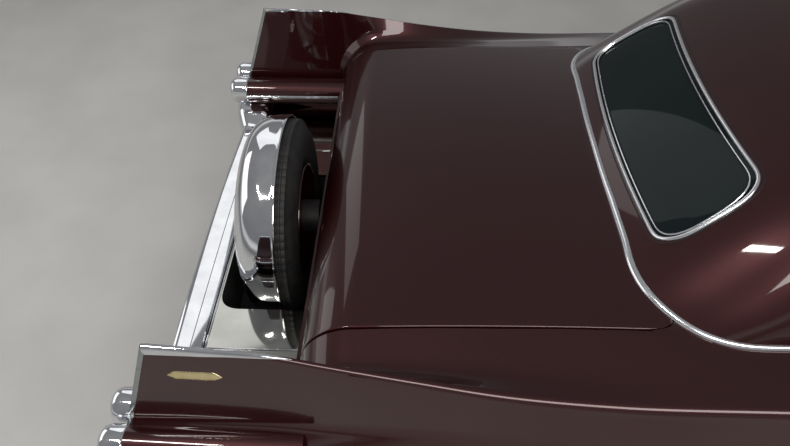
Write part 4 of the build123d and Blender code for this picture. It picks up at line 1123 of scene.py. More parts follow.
# %% [markdown]
# A nose panel fills the space between the fender, the hood and the bumper. The real one is a
# casting with the lamp's rim bolted on. A flat sheet with the fender's own outline is enough here,
# since rim and lens cover it.

# %% Nose, headlamps, grille
LAMP = (NOSE_X, 0.772, 0.775)
LAMP_R = 0.092


def fan(outline, x, thick):
    """A flat plate across the car with a given outline (y, z)."""
    outline = np.asarray(outline, float)
    front = np.column_stack([np.full(len(outline), x), outline])
    return slab(front, front - (thick, 0, 0))


nose_edge = side_slice(FENDER_FRONT)
nose_outline = np.concatenate([[(0.640, 0.400)], nose_edge, [(0.640, 0.860)]])
low_way = nose_outline[5] - nose_outline[0]
high_way = nose_outline[20] - nose_outline[0]
if low_way[0] * high_way[1] - low_way[1] * high_way[0] < 0:
    nose_outline = nose_outline[::-1]
nose = fan(nose_outline, NOSE_X - 0.004, 0.046)
pair("nose_panel", nose, PAINT, "body", "paint")
rim_profile = [(LAMP_R - 0.006, 0.030), (LAMP_R, 0.046), (LAMP_R + 0.010, 0.052),
               (LAMP_R + 0.019, 0.046), (LAMP_R + 0.024, 0.026), (LAMP_R + 0.024, -0.004),
               (LAMP_R - 0.006, -0.004), (LAMP_R - 0.006, 0.030)]
pair("lamp_rim", turned(rounded(rim_profile, 0.005), LAMP, (1, 0, 0), 72), CHROME, "body",
     "chrome", sharp=60)
lens_shares = np.linspace(0, 1, 14)
lens = [(LAMP_R * a + 1e-4, 0.034 + 0.024 * math.sqrt(max(0, 1 - a * a))) for a in lens_shares]
piece("headlamp_lenses", both(turned(lens, LAMP, (1, 0, 0), 64)), LENS_CLEAR, "body", "chrome",
      ["headlamps"])
GRILLE_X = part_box("grille")[1][0]


def grille_x(y, back):
    """Place of a grille bar that bows back towards its ends."""
    return GRILLE_X - back - 0.02 * (y / 0.62) ** 2


bars = []
for z in np.linspace(0.490, 0.780, 8):
    wave = [(grille_x(y, 0.012), y, z) for y in np.linspace(-0.625, 0.625, 40)]
    bars.append(swept(wave, oval(0.018, 0.006, 10, 1.0)))
for y in np.linspace(-0.585, 0.585, 27):
    x = grille_x(y, 0.018)
    bars.append(swept([(x, y, 0.472), (x, y, 0.796)], oval(0.007, 0.010, 8, 1.0), up=(1, 0, 0)))
frame_corners = [(-.62, .64), (-.62, .80), (.62, .80), (.62, .47), (-.62, .47), (-.62, .64)]
surround = [(GRILLE_X - 0.008, y, z) for y, z in rounded(frame_corners, 0.06, 8)[:-1]]
bars.append(swept(surround, oval(0.034, 0.014, 12, 0.8), closed=True, up=(1, 0, 0)))
piece("grille_bars", join(*bars), CHROME, "body", "chrome", ["grille"])
# Black plate behind the bars: painted shade of the dark space behind the grille.
piece("grille_shade", block((2.500, -0.64, 0.40), (2.508, 0.64, 0.86)), SEAL_AND_SHADE)
print("nose points", len(nose_outline))

# %% [markdown]
# Both bumpers are heavy pressings. Each is a profile carried round a plan curve, with the front and
# the rear line of the plan given apart, so that the bar can widen and taper. The bullets and the
# end castings are turned or bevelled pieces that stand on the bar.


# %% Bumpers
def arc_points(a, b, c, steps):
    """Points of the circle arc from a over b to c."""
    centre, radius = circle_through(a, b, c)
    start, mid, stop = [math.atan2(p[1] - centre[1], p[0] - centre[0]) for p in (a, b, c)]
    for _ in range(2):
        if (stop - start) * (mid - start) < 0:
            stop += 2 * math.pi if mid > start else -2 * math.pi
        if abs(mid - start) > math.pi:
            mid += 2 * math.pi if mid < start else -2 * math.pi
    turn = np.linspace(start, stop, steps)
    return np.stack([centre[0] + radius * np.cos(turn), centre[1] + radius * np.sin(turn)], -1)


def bar(back_line, face_line, low, high, radius, face_sign):
    """A bumper bar: rows along the bar, columns round its section."""
    count = 140
    lines = []
    for line in (back_line, face_line):
        line = np.asarray(line, float)
        run = run_along(line)
        even = np.linspace(0, run[-1], count)
        lines.append(np.stack([np.interp(even, run, line[:, 0]), np.interp(even, run, line[:, 1])], -1))
    back, front = lines
    rows = []
    for b, f in zip(back, front):
        width = np.linalg.norm(f - b)
        ease = min(radius, width * 0.45)
        mid = width / 2
        outer = rounded([(mid, high), (width, high), (width, low), (mid, low)], ease, 9)
        inner = rounded([(mid, low), (0, low), (0, (low + high) / 2), (0, high), (mid, high)],
                        min(0.005, ease), 4)
        section = np.concatenate([inner[:-1], outer])
        share = section[:, 0] / max(width, 1e-6)
        flat = b[None] * (1 - share[:, None]) + f[None] * share[:, None]
        rows.append(np.column_stack([flat, section[:, 1]])[:-1])
    grid = np.array(rows)
    return capped(grid[:, ::-1] if face_sign > 0 else grid)


def bar_line(end, bend_point, corner, middle_x, steps):
    """Plan line of a bar: an arc round each end and a bowed middle. The places are (x, y)."""
    start = arc_points(*[(x, -y) for x, y in (end, bend_point, corner)], steps[0])
    middle = arc_points((corner[0], -corner[1]), (middle_x, 0), corner, steps[1])
    finish_arc = arc_points(corner, bend_point, end, steps[0])
    return np.concatenate([start, middle[1:], finish_arc[1:]])


rear_face = bar_line((-2.560, 1.010), (-2.700, .965), (-2.745, .750), -2.761, (24, 60))
rear_back = bar_line((-2.560, .950), (-2.625, .920), (-2.644, .750), -2.6441, (16, 40))
rear_bar = bar(rear_back, rear_face, 0.430, 0.575, 0.034, -1)
# y, half depth, half height, middle x, middle z
CAST_ROWS = [
    (1.008, .020, .030, -2.706, .533), (1.003, .050, .062, -2.706, .533),
    (.985, .078, .083, -2.708, .533), (.930, .088, .089, -2.710, .533),
    (.850, .089, .089, -2.710, .531), (.795, .084, .084, -2.706, .525),
    (.745, .073, .076, -2.700, .516), (.700, .060, .069, -2.696, .508),
    (.650, .048, .066, -2.692, .504),
]


def end_casting():
    """A rounded casting that swells out of the bar's end."""
    turn = np.linspace(0, 2 * math.pi, 40, endpoint=False)
    c, s = np.cos(turn), np.sin(turn)
    rows = []
    squareness = 0.55
    for y in np.linspace(1.008, .650, 40):
        _, deep, high, x, z = through(CAST_ROWS, y)[0]
        rows.append(np.column_stack([x + deep * np.sign(c) * abs(c) ** squareness,
                                     np.full(len(turn), y),
                                     z + high * np.sign(s) * abs(s) ** squareness]))
    return capped(np.array(rows))


rear_shape = join(rear_bar, both(end_casting()))
piece("rear_bumper_bar", rear_shape, CHROME, "body", "chrome", ["rear_bumper"])
SEAM = finish("seam_shadow", srgb(70, 74, 80), srgb(84, 88, 94), 30, (0.4, 0.5), metallic=0.6)
seam_line = arc_points((-2.679, -.76), (-2.686, 0), (-2.679, .76), 50)
seam = [(x, y, 0.5752) for x, y in seam_line]
seam_section = [(-.0012, -.0006), (.0012, -.0006), (.0012, .0002), (-.0012, .0002)]
piece("bumper_seam", swept(seam, seam_section), SEAM)
front_face = bar_line((2.440, 1.010), (2.600, .960), (2.650, .800), 2.715, (24, 60))
front_back = bar_line((2.440, .985), (2.560, .930), (2.590, .800), 2.650, (24, 60))
front_bar = bar(front_back, front_face, 0.345, 0.480, 0.030, 1)
FRONT_X = cad_box[1][0]
bullet = [(1e-4, 0.0), (.016, -.004), (.030, -.016), (.038, -.036), (.046, -.064), (.060, -.110),
          (.070, -.150), (.074, -.190), (.074, -.225), (1e-4, -.226)]
bullets = both(turned(rounded(bullet, 0.012), (FRONT_X - 0.001, 0.400, 0.545), (1, 0, 0), 72))
piece("front_bumper_bar", join(front_bar, bullets), CHROME, "body", "chrome", ["front_bumper"])

# %% [markdown]
# At each side of the tail two chrome pods finish the tubes: a stepped ring and a small domed lens,
# red here as a guess, since the photograph shows the pods only from above. Lathe shapes are the
# plain way to make them.

# %% Tail pods
POD_DOME = [(1e-4, .004), (.010, .0046), (.020, .0075), (.028, .0135), (.031, .020)]
pod_shapes = []
lens_shapes = []
for tube_y, tube_z, tube_end in TUBES:
    end = tube_end + 0.0015
    depth = POD_START + 0.004 - end
    ring_line = [(POD_R - .004, depth), (POD_R, depth - .003), (POD_R, .026), (POD_R - .004, .012),
                 (POD_R - .014, .002), (POD_R - .019, .001), (POD_R - .022, .008),
                 (POD_R - .022, .020), (1e-4, .021)]
    ring_line = rounded(ring_line, 0.006)
    for side in (-1, 1):
        place = (end, side * tube_y, tube_z)
        pod_shapes.append(turned(ring_line[::-1], place, (1, 0, 0), 64))
        lens_shapes.append(turned(POD_DOME, place, (1, 0, 0), 48))
piece("pod_rings", join(*pod_shapes), CHROME, "body", "chrome", ["tail_pods"])
piece("pod_lenses", join(*lens_shapes), LENS_RED)

# %% [markdown]
# The tray between the bumper and the wall is two mirror-bright plates with a rounded opening
# between them for the spare wheel. Under the opening hangs a dark well. The plates take reflections
# of the wheel's cover, so their roughness is low and their colour a little warm.

# %% Tray and well
TRAY_Z = 0.555
TRAY_REAR = -2.638
TRAY_IN = 0.372
TRAY_OUT = 0.920
TRAY_SHEET = 0.008
hole_x = TRAY_REAR + 0.006
hole = rounded([(WALL_X, TRAY_IN), (hole_x, TRAY_IN), (hole_x, 0)], 0.075, 12)
plate = np.concatenate([[(WALL_X, TRAY_OUT), (TRAY_REAR, TRAY_OUT), (TRAY_REAR, 0.0)], hole[::-1]])
tray_plate = slab(*[np.column_stack([plate, np.full(len(plate), z)])
                    for z in (TRAY_Z, TRAY_Z - TRAY_SHEET)])
piece("tray_plates", both(tray_plate), BRIGHT, "body", "bright_plate", ["tray"])
strips = [block((TRAY_REAR + .002, .540, TRAY_Z - .001), (WALL_X - .002, .546, TRAY_Z + .003),
                0.0015, 2),
          block((TRAY_REAR - .004, .02, TRAY_Z - .006), (TRAY_REAR + .002, TRAY_OUT, TRAY_Z + .004),
                0.002, 2),
          block((WALL_X - .012, TRAY_IN + .01, TRAY_Z - .001),
                (WALL_X - .004, TRAY_OUT, TRAY_Z + .006), 0.002, 2)]
piece("tray_strips", join(*strips, *[mirror_shape(strip) for strip in strips]), CHROME)
piece("corner_fillers", both(block((-2.668, .915, .400), (-2.500, .930, .618), 0.004, 2)), PAINT)
WELL_WALLS = [((-2.642, -.375, .285), (-2.292, .375, .289)),
              ((-2.646, -.375, .285), (-2.642, .375, .548)),
              ((-2.292, -.375, .285), (-2.288, .375, .548)),
              ((-2.646, .375, .285), (-2.288, .379, .548)),
              ((-2.646, -.379, .285), (-2.288, -.375, .548))]
piece("spare_well", join(*[block(low, high) for low, high in WELL_WALLS]), FRAME_BLACK)

# %% [markdown]
# The spare wheel stands upright in its well. Its tyre has a fine block tread, and a chrome cover is
# pushed over the rear half. Tread blocks could be modelled one by one; here the tyre is a lathe
# shape whose outer points sink where a groove runs, which gives the same edges with few faces.

# %% Spare wheel
SPARE_R = 0.357
SPARE_Z = 0.660
SPARE_LOW, SPARE_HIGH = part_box("spare_tyre")
SPARE_MID = (SPARE_LOW[0] + SPARE_HIGH[0]) / 2 - 0.012


RIB_GAPS = (4, 5, 10, 11, 19, 20, 25, 26)


def treaded(radius, half, rim_radius, steps, groove, centre, axis):
    """A tyre: section (radius, along) turned about the axis, its tread cut by grooves and ribs."""
    side = [(rim_radius, half - .034), (rim_radius + .012, half - .022),
            (rim_radius + .040, half - .006), (rim_radius + .075, half - .001),
            (rim_radius + .105, half - .004), (radius - .030, half - .016),
            (radius - .012, half - .030)]
    side = rounded(side, 0.012, 4)
    across = np.linspace(half - .034, -half + .034, 31)
    tread = []
    for k, a in enumerate(across):
        sink = groove if k in RIB_GAPS else 0.0
        tread.append((radius - 0.004 * (abs(a) / half) ** 2 - sink, a))
    section = np.array([*side, *tread, *[(r, -a) for r, a in side[::-1]]])
    place = np.arange(len(section))
    block_rows = (place >= len(side)) & (place < len(side) + len(tread))
    axis = Vector(axis).normalized()
    first = axis.orthogonal().normalized()
    second = axis.cross(first)
    angles = np.linspace(0, 2 * math.pi, steps, endpoint=False)
    rings = []
    for k, angle in enumerate(angles):
        radius_here = section[:, 0] - np.where(block_rows & (k % 4 == 0), groove * 0.7, 0)
        direction = np.array(first) * math.cos(angle) + np.array(second) * math.sin(angle)
        offset = section[:, 1:] * np.array(axis)
        rings.append(np.asarray(centre) + offset + radius_here[:, None] * direction)
    grid = np.array(rings)
    return grid.reshape(-1, 3), quads(*grid.shape[:2], wrap_rows=True)


spare = treaded(SPARE_R, 0.096, 0.197, 320, 0.0035, (SPARE_MID - 0.010, 0, SPARE_Z), (-1, 0, 0))
piece("spare_tyre_rubber", spare, RUBBER, "body", "tyre", ["spare_tyre"], sharp=30)
SPARE_PLACE = (SPARE_MID, 0, SPARE_Z)
cover_line = [(1e-4, .152), (.080, .150), (.160, .146), (.230, .139), (.285, .128), (.324, .112),
              (.350, .090), (.363, .064), (.3690, .036), (.3695, -.012), (.3710, -.016),
              (.3710, -.020), (.3690, -.0225), (.3640, -.022), (.3640, .040), (.353, .078),
              (.334, .099)]
cover_line = rounded([(r, -a) for r, a in cover_line], 0.012, 5)
cover = turned(cover_line, SPARE_PLACE, (1, 0, 0), 160)
piece("spare_chrome_cover", cover, CHROME, "body", "chrome", ["spare_cover"], sharp=50)
spare_rim_line = [(.030, .066), (.090, .060), (.150, .040), (.172, .062), (.188, .078),
                  (.1955, .078), (.1955, -.084), (.172, -.072), (.150, -.060), (.120, -.006),
                  (.060, .046), (.030, .050)]
spare_disc = turned(rounded(spare_rim_line, 0.006, 4), SPARE_PLACE, (1, 0, 0), 96)
piece("spare_wheel_disc", spare_disc, PAINT, "body", "wheel", ["spare_rim"])
post_line = [(1e-4, .030), (.058, .030), (.060, .034), (.060, .125), (1e-4, .125)]
post = turned(post_line, SPARE_PLACE, (1, 0, 0), 48)
piece("spare_post", post, FRAME_BLACK, "body", "frame_black", ["spare_carrier"])

# %% [markdown]
# Bright mouldings draw the car's lines. The belt moulding runs round the greenhouse's foot: a
# chrome bead with a black line of seal on its outer side. The rear window has a double bead. All
# follow the greenhouse's own surface: a ray is cast on it for each point, which is surer than a
# second set of formulas.

# %% Mouldings on the greenhouse
house_verts, house_faces, _ = house_surface(HOUSE_STEPS)
house_tree = BVHTree.FromPolygons([tuple(v) for v in house_verts],
                                  [tuple(f) for f in house_faces])


def on_house(points, direction):
    """Places and normals where rays meet the greenhouse."""
    spots = []
    normals = []
    way = Vector(direction).normalized()
    for point in points:
        start = Vector(point) - way * 4.0
        spot, normal, _, _ = house_tree.ray_cast(start, way, 8.0)
        if spot is None:
            spot, normal, _, _ = house_tree.find_nearest(Vector(point))
        spots.append(spot[:])
        normals.append(normal[:] if normal.dot(way) < 0 else (-normal)[:])
    return np.array(spots), np.array(normals)


def even_loop(outline, spacing):
    """The outline with points at an even spacing."""
    closed = np.concatenate([outline, outline[:1]])
    run = run_along(closed)
    count = max(24, int(run[-1] / spacing))
    even = np.linspace(0, run[-1], count, endpoint=False)
    return np.stack([np.interp(even, run, closed[:, k]) for k in range(closed.shape[1])], -1)


def soften(points, rounds=2, closed=True):
    """Average neighbours a few times."""
    for _ in range(rounds):
        ahead = np.roll(points, -1, 0)
        behind = np.roll(points, 1, 0)
        mixed = (ahead + 2 * points + behind) / 4
        if not closed:
            mixed[0] = points[0]
            mixed[-1] = points[-1]
        points = mixed
    return points


def frame_bead(outline, direction, view, profile, grow):
    """A bead round a window opening, on the greenhouse's surface."""
    centre = outline.mean(0)
    reach = np.abs(outline - centre).max(0)
    loop = even_loop(centre + (outline - centre) * (1 + grow / reach), 0.014)
    points = np.zeros((len(loop), 3))
    points[:, view] = loop
    spots, normals = on_house(points, direction)
    return swept(soften(spots), profile, closed=True, up=soften(normals))


outer_bead = frame_bead(REAR_PANE, (1, 0, 0), REAR_VIEW, oval(0.013, 0.0065, 14, 0.9), 0.002)
inner_bead = frame_bead(REAR_PANE, (1, 0, 0), REAR_VIEW, oval(0.006, 0.0040, 10, 1.6), -0.0085)
dark_bead = frame_bead(REAR_PANE, (1, 0, 0), REAR_VIEW, oval(0.004, 0.0015, 8, 1.0), 0.0105)
piece("rear_window_bead", join(outer_bead, inner_bead), TRIM, "body", "chrome")
screen_bead = frame_bead(SCREEN_PANE, (-1, 0, 0), REAR_VIEW, oval(0.018, 0.006, 14, 0.8), 0.0)
piece("screen_bead", screen_bead, TRIM, "body", "chrome")
piece("window_seals", dark_bead, SEAL_AND_SHADE)


BELT_YS = [0, .30, .466, .60, .70, .80]
BELT_ZS = [1.000, .997, .990, .974, .962, .944]


def belt_height(y, x):
    """Height of the belt moulding's middle: highest behind, level along the side."""
    return float(np.interp(abs(y), BELT_YS, BELT_ZS)) if x < -0.9 else BELT_ZS[-1]


def ring_at(z):
    """Step of the greenhouse table with this height."""
    steps = np.linspace(-0.5, 1.4, 60)
    heights = [through(HOUSE_ROWS, s)[0][1] for s in steps]
    return float(np.interp(z, heights, steps))


def along_ring(line, share):
    """The place at a share of a ring's way from the door's rear edge to the rear middle."""
    run = run_along(line[:, :2])
    start = np.interp(-DOOR_REAR, -line[:, 0], run)
    spot = start + (run[-1] - start) * share
    return [np.interp(spot, run, line[:, c]) for c in (0, 1, 2)]


belt = []
base_ring = ring(0.2)
for share in np.linspace(0, 1, 120):
    x, y, _ = along_ring(base_ring, share)
    belt.append(along_ring(ring(ring_at(belt_height(y, x))), share))
belt = np.array(belt)
belt = np.concatenate([belt, belt[-2::-1] * (1, -1, 1)])
belt_spots = belt
belt_normals = []
for point in belt_spots:
    _, normal, _, _ = house_tree.find_nearest(Vector(point))
    belt_normals.append(normal[:] if normal.z > -0.5 else (-normal)[:])
belt_normals = soften(np.array(belt_normals), 16, closed=False)
belt_spots = soften(belt_spots, 5, closed=False)
bead_profile = oval(0.024, 0.0085, 16, 0.7)
piece("belt_moulding", swept(belt_spots, bead_profile, up=belt_normals), TRIM, "body", "chrome")
ahead = np.gradient(belt_spots, axis=0)
ahead /= np.linalg.norm(ahead, axis=1, keepdims=True)
aside = np.cross(ahead, belt_normals)
aside *= np.sign(-aside[:, 2:3] + 1e-9)
SEAL_OFFSET = 0.0145
belt_seal = swept(belt_spots + aside * SEAL_OFFSET, oval(0.005, 0.0035, 8, 1.0), up=belt_normals)
piece("belt_seal", belt_seal, SEAL_AND_SHADE)
print("belt at the rear", belt_spots[len(belt_spots) // 2].round(3).tolist())

# %% [markdown]
# The fin wears a chrome cap that tapers out along its crest, a flat bright strip down its raked
# rear edge, and a small gold-tone bar on its outer face, plain and tapered at both ends.

# %% Fin trim
cap_rows = []
for x in np.linspace(FIN_TIP[0] - 0.001, -2.255, 50):
    share = max(0.0, (x + 2.262) / (FIN_TIP[0] + 2.262))
    edge = side_slice(x)[CREST - 12:CREST + 5]
    run = run_along(edge)
    centre_run = run[10]
    low_run = centre_run - 0.001 - 0.028 * share**0.75
    high_run = centre_run + 0.001 + 0.017 * share**0.75
    spread = np.linspace(low_run, high_run, 15)
    line = np.stack([np.interp(spread, run, edge[:, k]) for k in (0, 1)], -1)
    tangent = np.gradient(line, axis=0)
    normal = np.stack([tangent[:, 1], -tangent[:, 0]], -1)
    normal /= np.linalg.norm(normal, axis=1, keepdims=True)
    rise = 0.0022 * np.sin(np.linspace(0.12, math.pi - 0.12, 15)) ** 0.5
    line = line + normal * rise[:, None]
    cap_rows.append([(x, y, z) for y, z in line])
fin_cap = sheet(np.array(cap_rows)[::-1], 0.0015)
rake = []
for z in np.linspace(FIN_TIP[1] - 0.002, FIN_FOOT[1] - 0.010, 24):
    x = rake_x(z) if z > FIN_FOOT[1] else FIN_FOOT[0]
    side = side_slice(x)[:CREST + 1]
    outer = np.interp(min(z, 1.036), side[:, 1], side[:, 0])
    inner = float(face_y(x, z))
    rake.append([(x + 0.010, outer + .0018, z), (x - .0035, outer + .0018, z),
                 (x - .0045, outer - .001, z), (x - .0045, inner + .001, z),
                 (x - .0035, inner - .0018, z), (x + 0.008, inner - .0018, z)])
rake_strip = sheet(np.array(rake), 0.0012)
PLATE = finish("satin_strip", srgb(150, 156, 158), srgb(166, 171, 173), 60, (0.12, 0.2), metallic=1.0)
pair("fin_cap", fin_cap, CHROME, "body", "chrome")
pair("fin_rear_strip", rake_strip, PLATE, "body", "chrome")
strip_y, strip_z, _ = TUBES[0]
STRIP_WAY = (-1.0, 0.0)
strip_line = [(x, strip_y + TUBE_R * STRIP_WAY[0], strip_z + TUBE_R * STRIP_WAY[1])
              for x in np.linspace(POD_START + 0.002, WALL_X - 0.02, 20)]
tube_strip = swept(strip_line, oval(0.015, 0.005, 12, 0.8), up=(0, *STRIP_WAY))
pair("tube_strip", tube_strip, CHROME, "body", "chrome")
BAR_X = -2.507
BAR_Z = 0.938
BAR_HALF = 0.070
BAR_REACH = 0.0165


def side_y(x, z):
    """Outer face of the body side at a place."""
    points = side_slice(x)[:CREST + 1]
    return float(np.interp(z, points[:, 1], points[:, 0]))


gold = []
for x in np.linspace(BAR_X + BAR_HALF, BAR_X - BAR_HALF, 36):
    reach = BAR_REACH * min(1.0, 0.10 + 0.90 * (BAR_HALF - abs(x - BAR_X)) / 0.020)
    row = []
    for a in np.linspace(-math.pi / 2, math.pi / 2, 9):
        z = BAR_Z + reach * math.sin(a)
        rise = 0.0004 + 0.0032 * math.cos(a) * min(1, reach / 0.006)
        row.append((x, side_y(x, z) + rise, z))
    gold.append(row)
pair("gold_bar", sheet(np.array(gold), 0.0012), GOLD, "body", "chrome")
print("fin trim made")

# %% [markdown]
# Wheels, tyres and their covers turn with the car's four wheel bodies. Tyre and cover are lathe
# shapes. White side rings are a guess that fits a car of this kind and year: the photograph does
# not show the road wheels.

# %% Wheels
TRACK_HALF = (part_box("tyre_rear_left")[0][1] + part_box("tyre_rear_left")[1][1]) / 2
HUB = ((0, 0, 0), (0, 1, 0))


def closed_turn(line, reach):
    """A ring of a closed profile with eased corners, turned about the hub."""
    return turned(rounded([*line, line[0]], reach, 3)[:-1], *HUB, 96)


tyre_profile = treaded(TYRE_R - 0.0015, 0.1070, 0.197, 240, 0.004, *HUB)
white = [(.222, .1022), (.226, .1064), (.250, .1078), (.285, .1082), (.289, .1050), (.285, .1000),
         (.226, .0960)]
white_ring = closed_turn(white, 0.003)
cover_face = [(1e-4, .1040), (.018, .1035), (.032, .1000), (.042, .0930), (.048, .0850),
              (.056, .0815), (.075, .0790), (.094, .0745), (.100, .0700), (.108, .0715),
              (.140, .0690), (.160, .0620), (.166, .0640), (.176, .0740), (.188, .0830),
              (.1955, .0840), (.1965, .0810), (.1900, .0740), (.1700, .0560)]
wheel_cover = turned(rounded(cover_face, 0.004, 4)[::-1], *HUB, 120)
VANES = 36
vane_line = ((.110, .0712), (.125, .0710), (.141, .0690), (.156, .0640))
vanes = []
for k in range(VANES):
    turn = 2 * math.pi * k / VANES
    c, s = math.cos(turn), math.sin(turn)
    path = [(r * c, a, r * s) for r, a in vane_line]
    vanes.append(swept(path, oval(0.0055, 0.0030, 8, 1.0), up=(0, 1, 0)))
rim_section = [(.194, .070), (.196, .076), (.196, -.082), (.186, -.084), (.172, -.070),
               (.150, -.058), (.120, -.006), (.060, .008), (.024, .010), (.024, .016), (.062, .016),
               (.124, .002), (.156, -.050), (.176, -.060), (.186, -.050), (.186, .060)]
rim_shape = closed_turn(rim_section, 0.004)


def placed(shape, x, side):
    """A wheel part moved to its axle, turned round for the right side."""
    verts, faces = shape
    verts = np.asarray(verts) * (side, side, 1) + (x, side * TRACK_HALF, TYRE_R)
    return verts, faces


full_cover = join(wheel_cover, *vanes)
for end, axle in (("front", FRONT_AXLE), ("rear", REAR_AXLE)):
    for side_name, side in (("left", 1), ("right", -1)):
        tag = end + "_" + side_name
        wheel = "wheel_" + tag
        piece("road_tyre_" + tag, placed(tyre_profile, axle, side), RUBBER, wheel, "tyre",
              ["tyre_" + tag], sharp=30)
        piece("whitewall_" + tag, placed(white_ring, axle, side), WHITEWALL, wheel)
        piece("road_rim_" + tag, placed(rim_shape, axle, side), PAINT, wheel, "wheel",
              ["rim_" + tag])
        piece("wheel_cover_" + tag, placed(full_cover, axle, side), CHROME, wheel, "wheel")

# %% [markdown]
# The cabin is seen through the clear glass. The rear pane is opaque, and its near-black colour is
# painted shade of the cabin behind it. The seats are bench seats: a cushion and a back, each a
# stuffed cover. A stuffed form can be sculpted, but a cloth simulation with a little pressure gives
# the true swell, so a slightly small block is blown up and capped, and the sewn channels are
# pressed in after that.


# %% Seats
CLOTH_FRAMES = 14
VOXEL = 0.014


def stuffed(name, shape, cap):
    """Vertices and faces of a block swollen by pressure, no point moved further than the cap."""
    verts, faces = shape
    mesh = bpy.data.meshes.new(name + "_start")
    mesh.from_pydata(np.asarray(verts).tolist(), [], faces)
    start = bpy.data.objects.new(name + "_start", mesh)
    bpy.context.scene.collection.objects.link(start)
    remesh = start.modifiers.new("voxels", "REMESH")
    remesh.mode = "VOXEL"
    remesh.voxel_size = VOXEL
    graph = bpy.context.evaluated_depsgraph_get()
    even = bpy.data.meshes.new_from_object(start.evaluated_get(graph))
    start.modifiers.clear()
    start.data = even
    rest = np.array([v.co[:] for v in even.vertices])
    polys = [list(p.vertices) for p in even.polygons]
    moved = rest
    cloth = start.modifiers.new("cloth", "CLOTH")
    cloth.settings.quality = 4
    cloth.settings.use_pressure = True
    cloth.settings.uniform_pressure_force = 4.0
    cloth.settings.effector_weights.gravity = 0.0
    cloth.point_cache.frame_start = 1
    cloth.point_cache.frame_end = CLOTH_FRAMES
    for step in range(1, CLOTH_FRAMES + 1):
        bpy.context.scene.frame_set(step)
    graph = bpy.context.evaluated_depsgraph_get()
    swollen = bpy.data.meshes.new_from_object(start.evaluated_get(graph))
    moved = np.array([v.co[:] for v in swollen.vertices])
    bpy.context.scene.frame_set(1)
    bpy.data.meshes.remove(swollen)
    shift = moved - rest
    reach = np.linalg.norm(shift, axis=1, keepdims=True)
    moved = rest + shift * np.minimum(1, cap / np.maximum(reach, 1e-9))
    bpy.data.objects.remove(start)
    return moved, polys


def channelled(verts, axis, pitch, depth, low, high):
    """Press sewn channels across a cushion, between two limits of Y."""
    y = verts[:, 1]
    off = (y + pitch / 2) % pitch - pitch / 2
    zone = smooth(low, low + 0.02, y) * (1 - smooth(high - 0.02, high, y))
    press = depth * np.exp(-(off / 0.009) ** 2) * zone
    return verts - np.outer(press, axis)


CHANNEL_PITCH = 0.098
CHANNEL_EDGE = 0.16


def bench(tag, cushion_low, cushion_high, back_points, half):
    """A bench seat: a cushion and a leaning back, both with sewn channels."""
    low = (cushion_low[0], -half + 0.02, cushion_low[1])
    high = (cushion_high[0], half - 0.02, cushion_high[1])
    verts, faces = stuffed(tag + "_cushion", block(low, high, 0.05, 5), 0.022)
    top = verts[:, 2] > (low[2] + high[2]) / 2
    edge = half - CHANNEL_EDGE
    pressed = channelled(verts, (0, 0, 1), CHANNEL_PITCH, 0.010, -edge, edge)
    verts = np.where(top[:, None], pressed, verts)
    cushion = piece(tag + "_cushion", (verts, faces), LEATHER, "body", "leather", [tag], sharp=80)
    section = rounded([*back_points, back_points[0]], 0.045, 6)[:-1]
    loop = [np.column_stack([section[:, 0], np.full(len(section), y), section[:, 1]])
            for y in np.linspace(-half + 0.02, half - 0.02, 30)]
    verts, faces = stuffed(tag + "_back", capped(np.array(loop)), 0.020)
    (x0, z0), _, (x2, z2), (x3, z3) = back_points
    lean = np.array([z3 - z0, 0, x0 - x3]) / math.dist((x0, z0), (x3, z3))
    middle = np.array([(x0 + x2) / 2, 0, (z0 + z2) / 2])
    ahead = (verts - middle) @ lean > 0.02
    pressed = channelled(verts, lean, CHANNEL_PITCH, 0.009, -edge, edge)
    verts = np.where(ahead[:, None], pressed, verts)
    back = piece(tag + "_backrest", (verts, faces), LEATHER, "body", "leather", sharp=80)


bench("front_seat", (-0.150, 0.372), (0.425, 0.585),
      [(-0.048, 0.420), (-0.152, 0.905), (-0.250, 0.905), (-0.165, 0.420)], 0.685)
bench("rear_seat", (-0.860, 0.372), (-0.425, 0.580),
      [(-0.755, 0.430), (-0.795, 0.905), (-0.905, 0.905), (-0.870, 0.430)], 0.635)

# %% [markdown]
# Carpet, door cards, dashboard and steering wheel dress the rest of the cabin. The photograph shows
# none of it, so these are plain period forms: a padded dash with round gauges, and a thin-rimmed
# wheel with a horn ring.

# %% Cabin trim
carpet = join(block((-0.975, -0.752, 0.361), (0.998, 0.752, 0.368)),
              block((-0.980, -0.124, 0.366), (0.998, 0.124, 0.474), 0.02))
piece("cabin_carpet", carpet, CARPET)
cards = join(block((-0.545, DOOR_INNER - 0.014, 0.385), (0.770, DOOR_INNER - 0.001, 0.905), 0.006),
             block((-0.430, DOOR_INNER - 0.060, 0.640), (0.120, DOOR_INNER - 0.008, 0.690), 0.018),
             block((-0.500, DOOR_INNER - 0.018, 0.745), (0.740, DOOR_INNER - 0.010, 0.757), 0.003))
pair("door_card", cards, LEATHER_DARK, "door_SIDE")
lever = block((0.240, DOOR_INNER - 0.040, 0.728), (0.340, DOOR_INNER - 0.030, 0.742), 0.005)
pivot = turned([(1e-4, 0), (.016, 0), (.016, .020), (1e-4, .020)], (0.335, DOOR_INNER - 0.034, 0.735),
               (0, 1, 0), 24)
pair("inner_handle", join(lever, pivot), CHROME, "door_SIDE")
pair("quarter_card", block((-0.985, 0.690, 0.370), (-0.575, 0.716, 0.930), 0.006), LEATHER_DARK)
dash_line = rounded([(0.998, 0.905), (0.860, 0.930), (0.800, 0.905), (0.790, 0.850), (0.835, 0.800),
                     (0.800, 0.740), (0.830, 0.705), (0.998, 0.705)], 0.02, 5)
dash_grid = np.array([[(x + 0.03 * (y / 0.72) ** 2 * (x < 0.95), y, z) for x, z in dash_line]
                      for y in np.linspace(-0.715, 0.715, 40)])
piece("dash_panel", capped(dash_grid), DASH, "body", "trim_dark", ["dashboard"])
GAUGE_YS = (0.270, 0.370, 0.470)
gauges = []
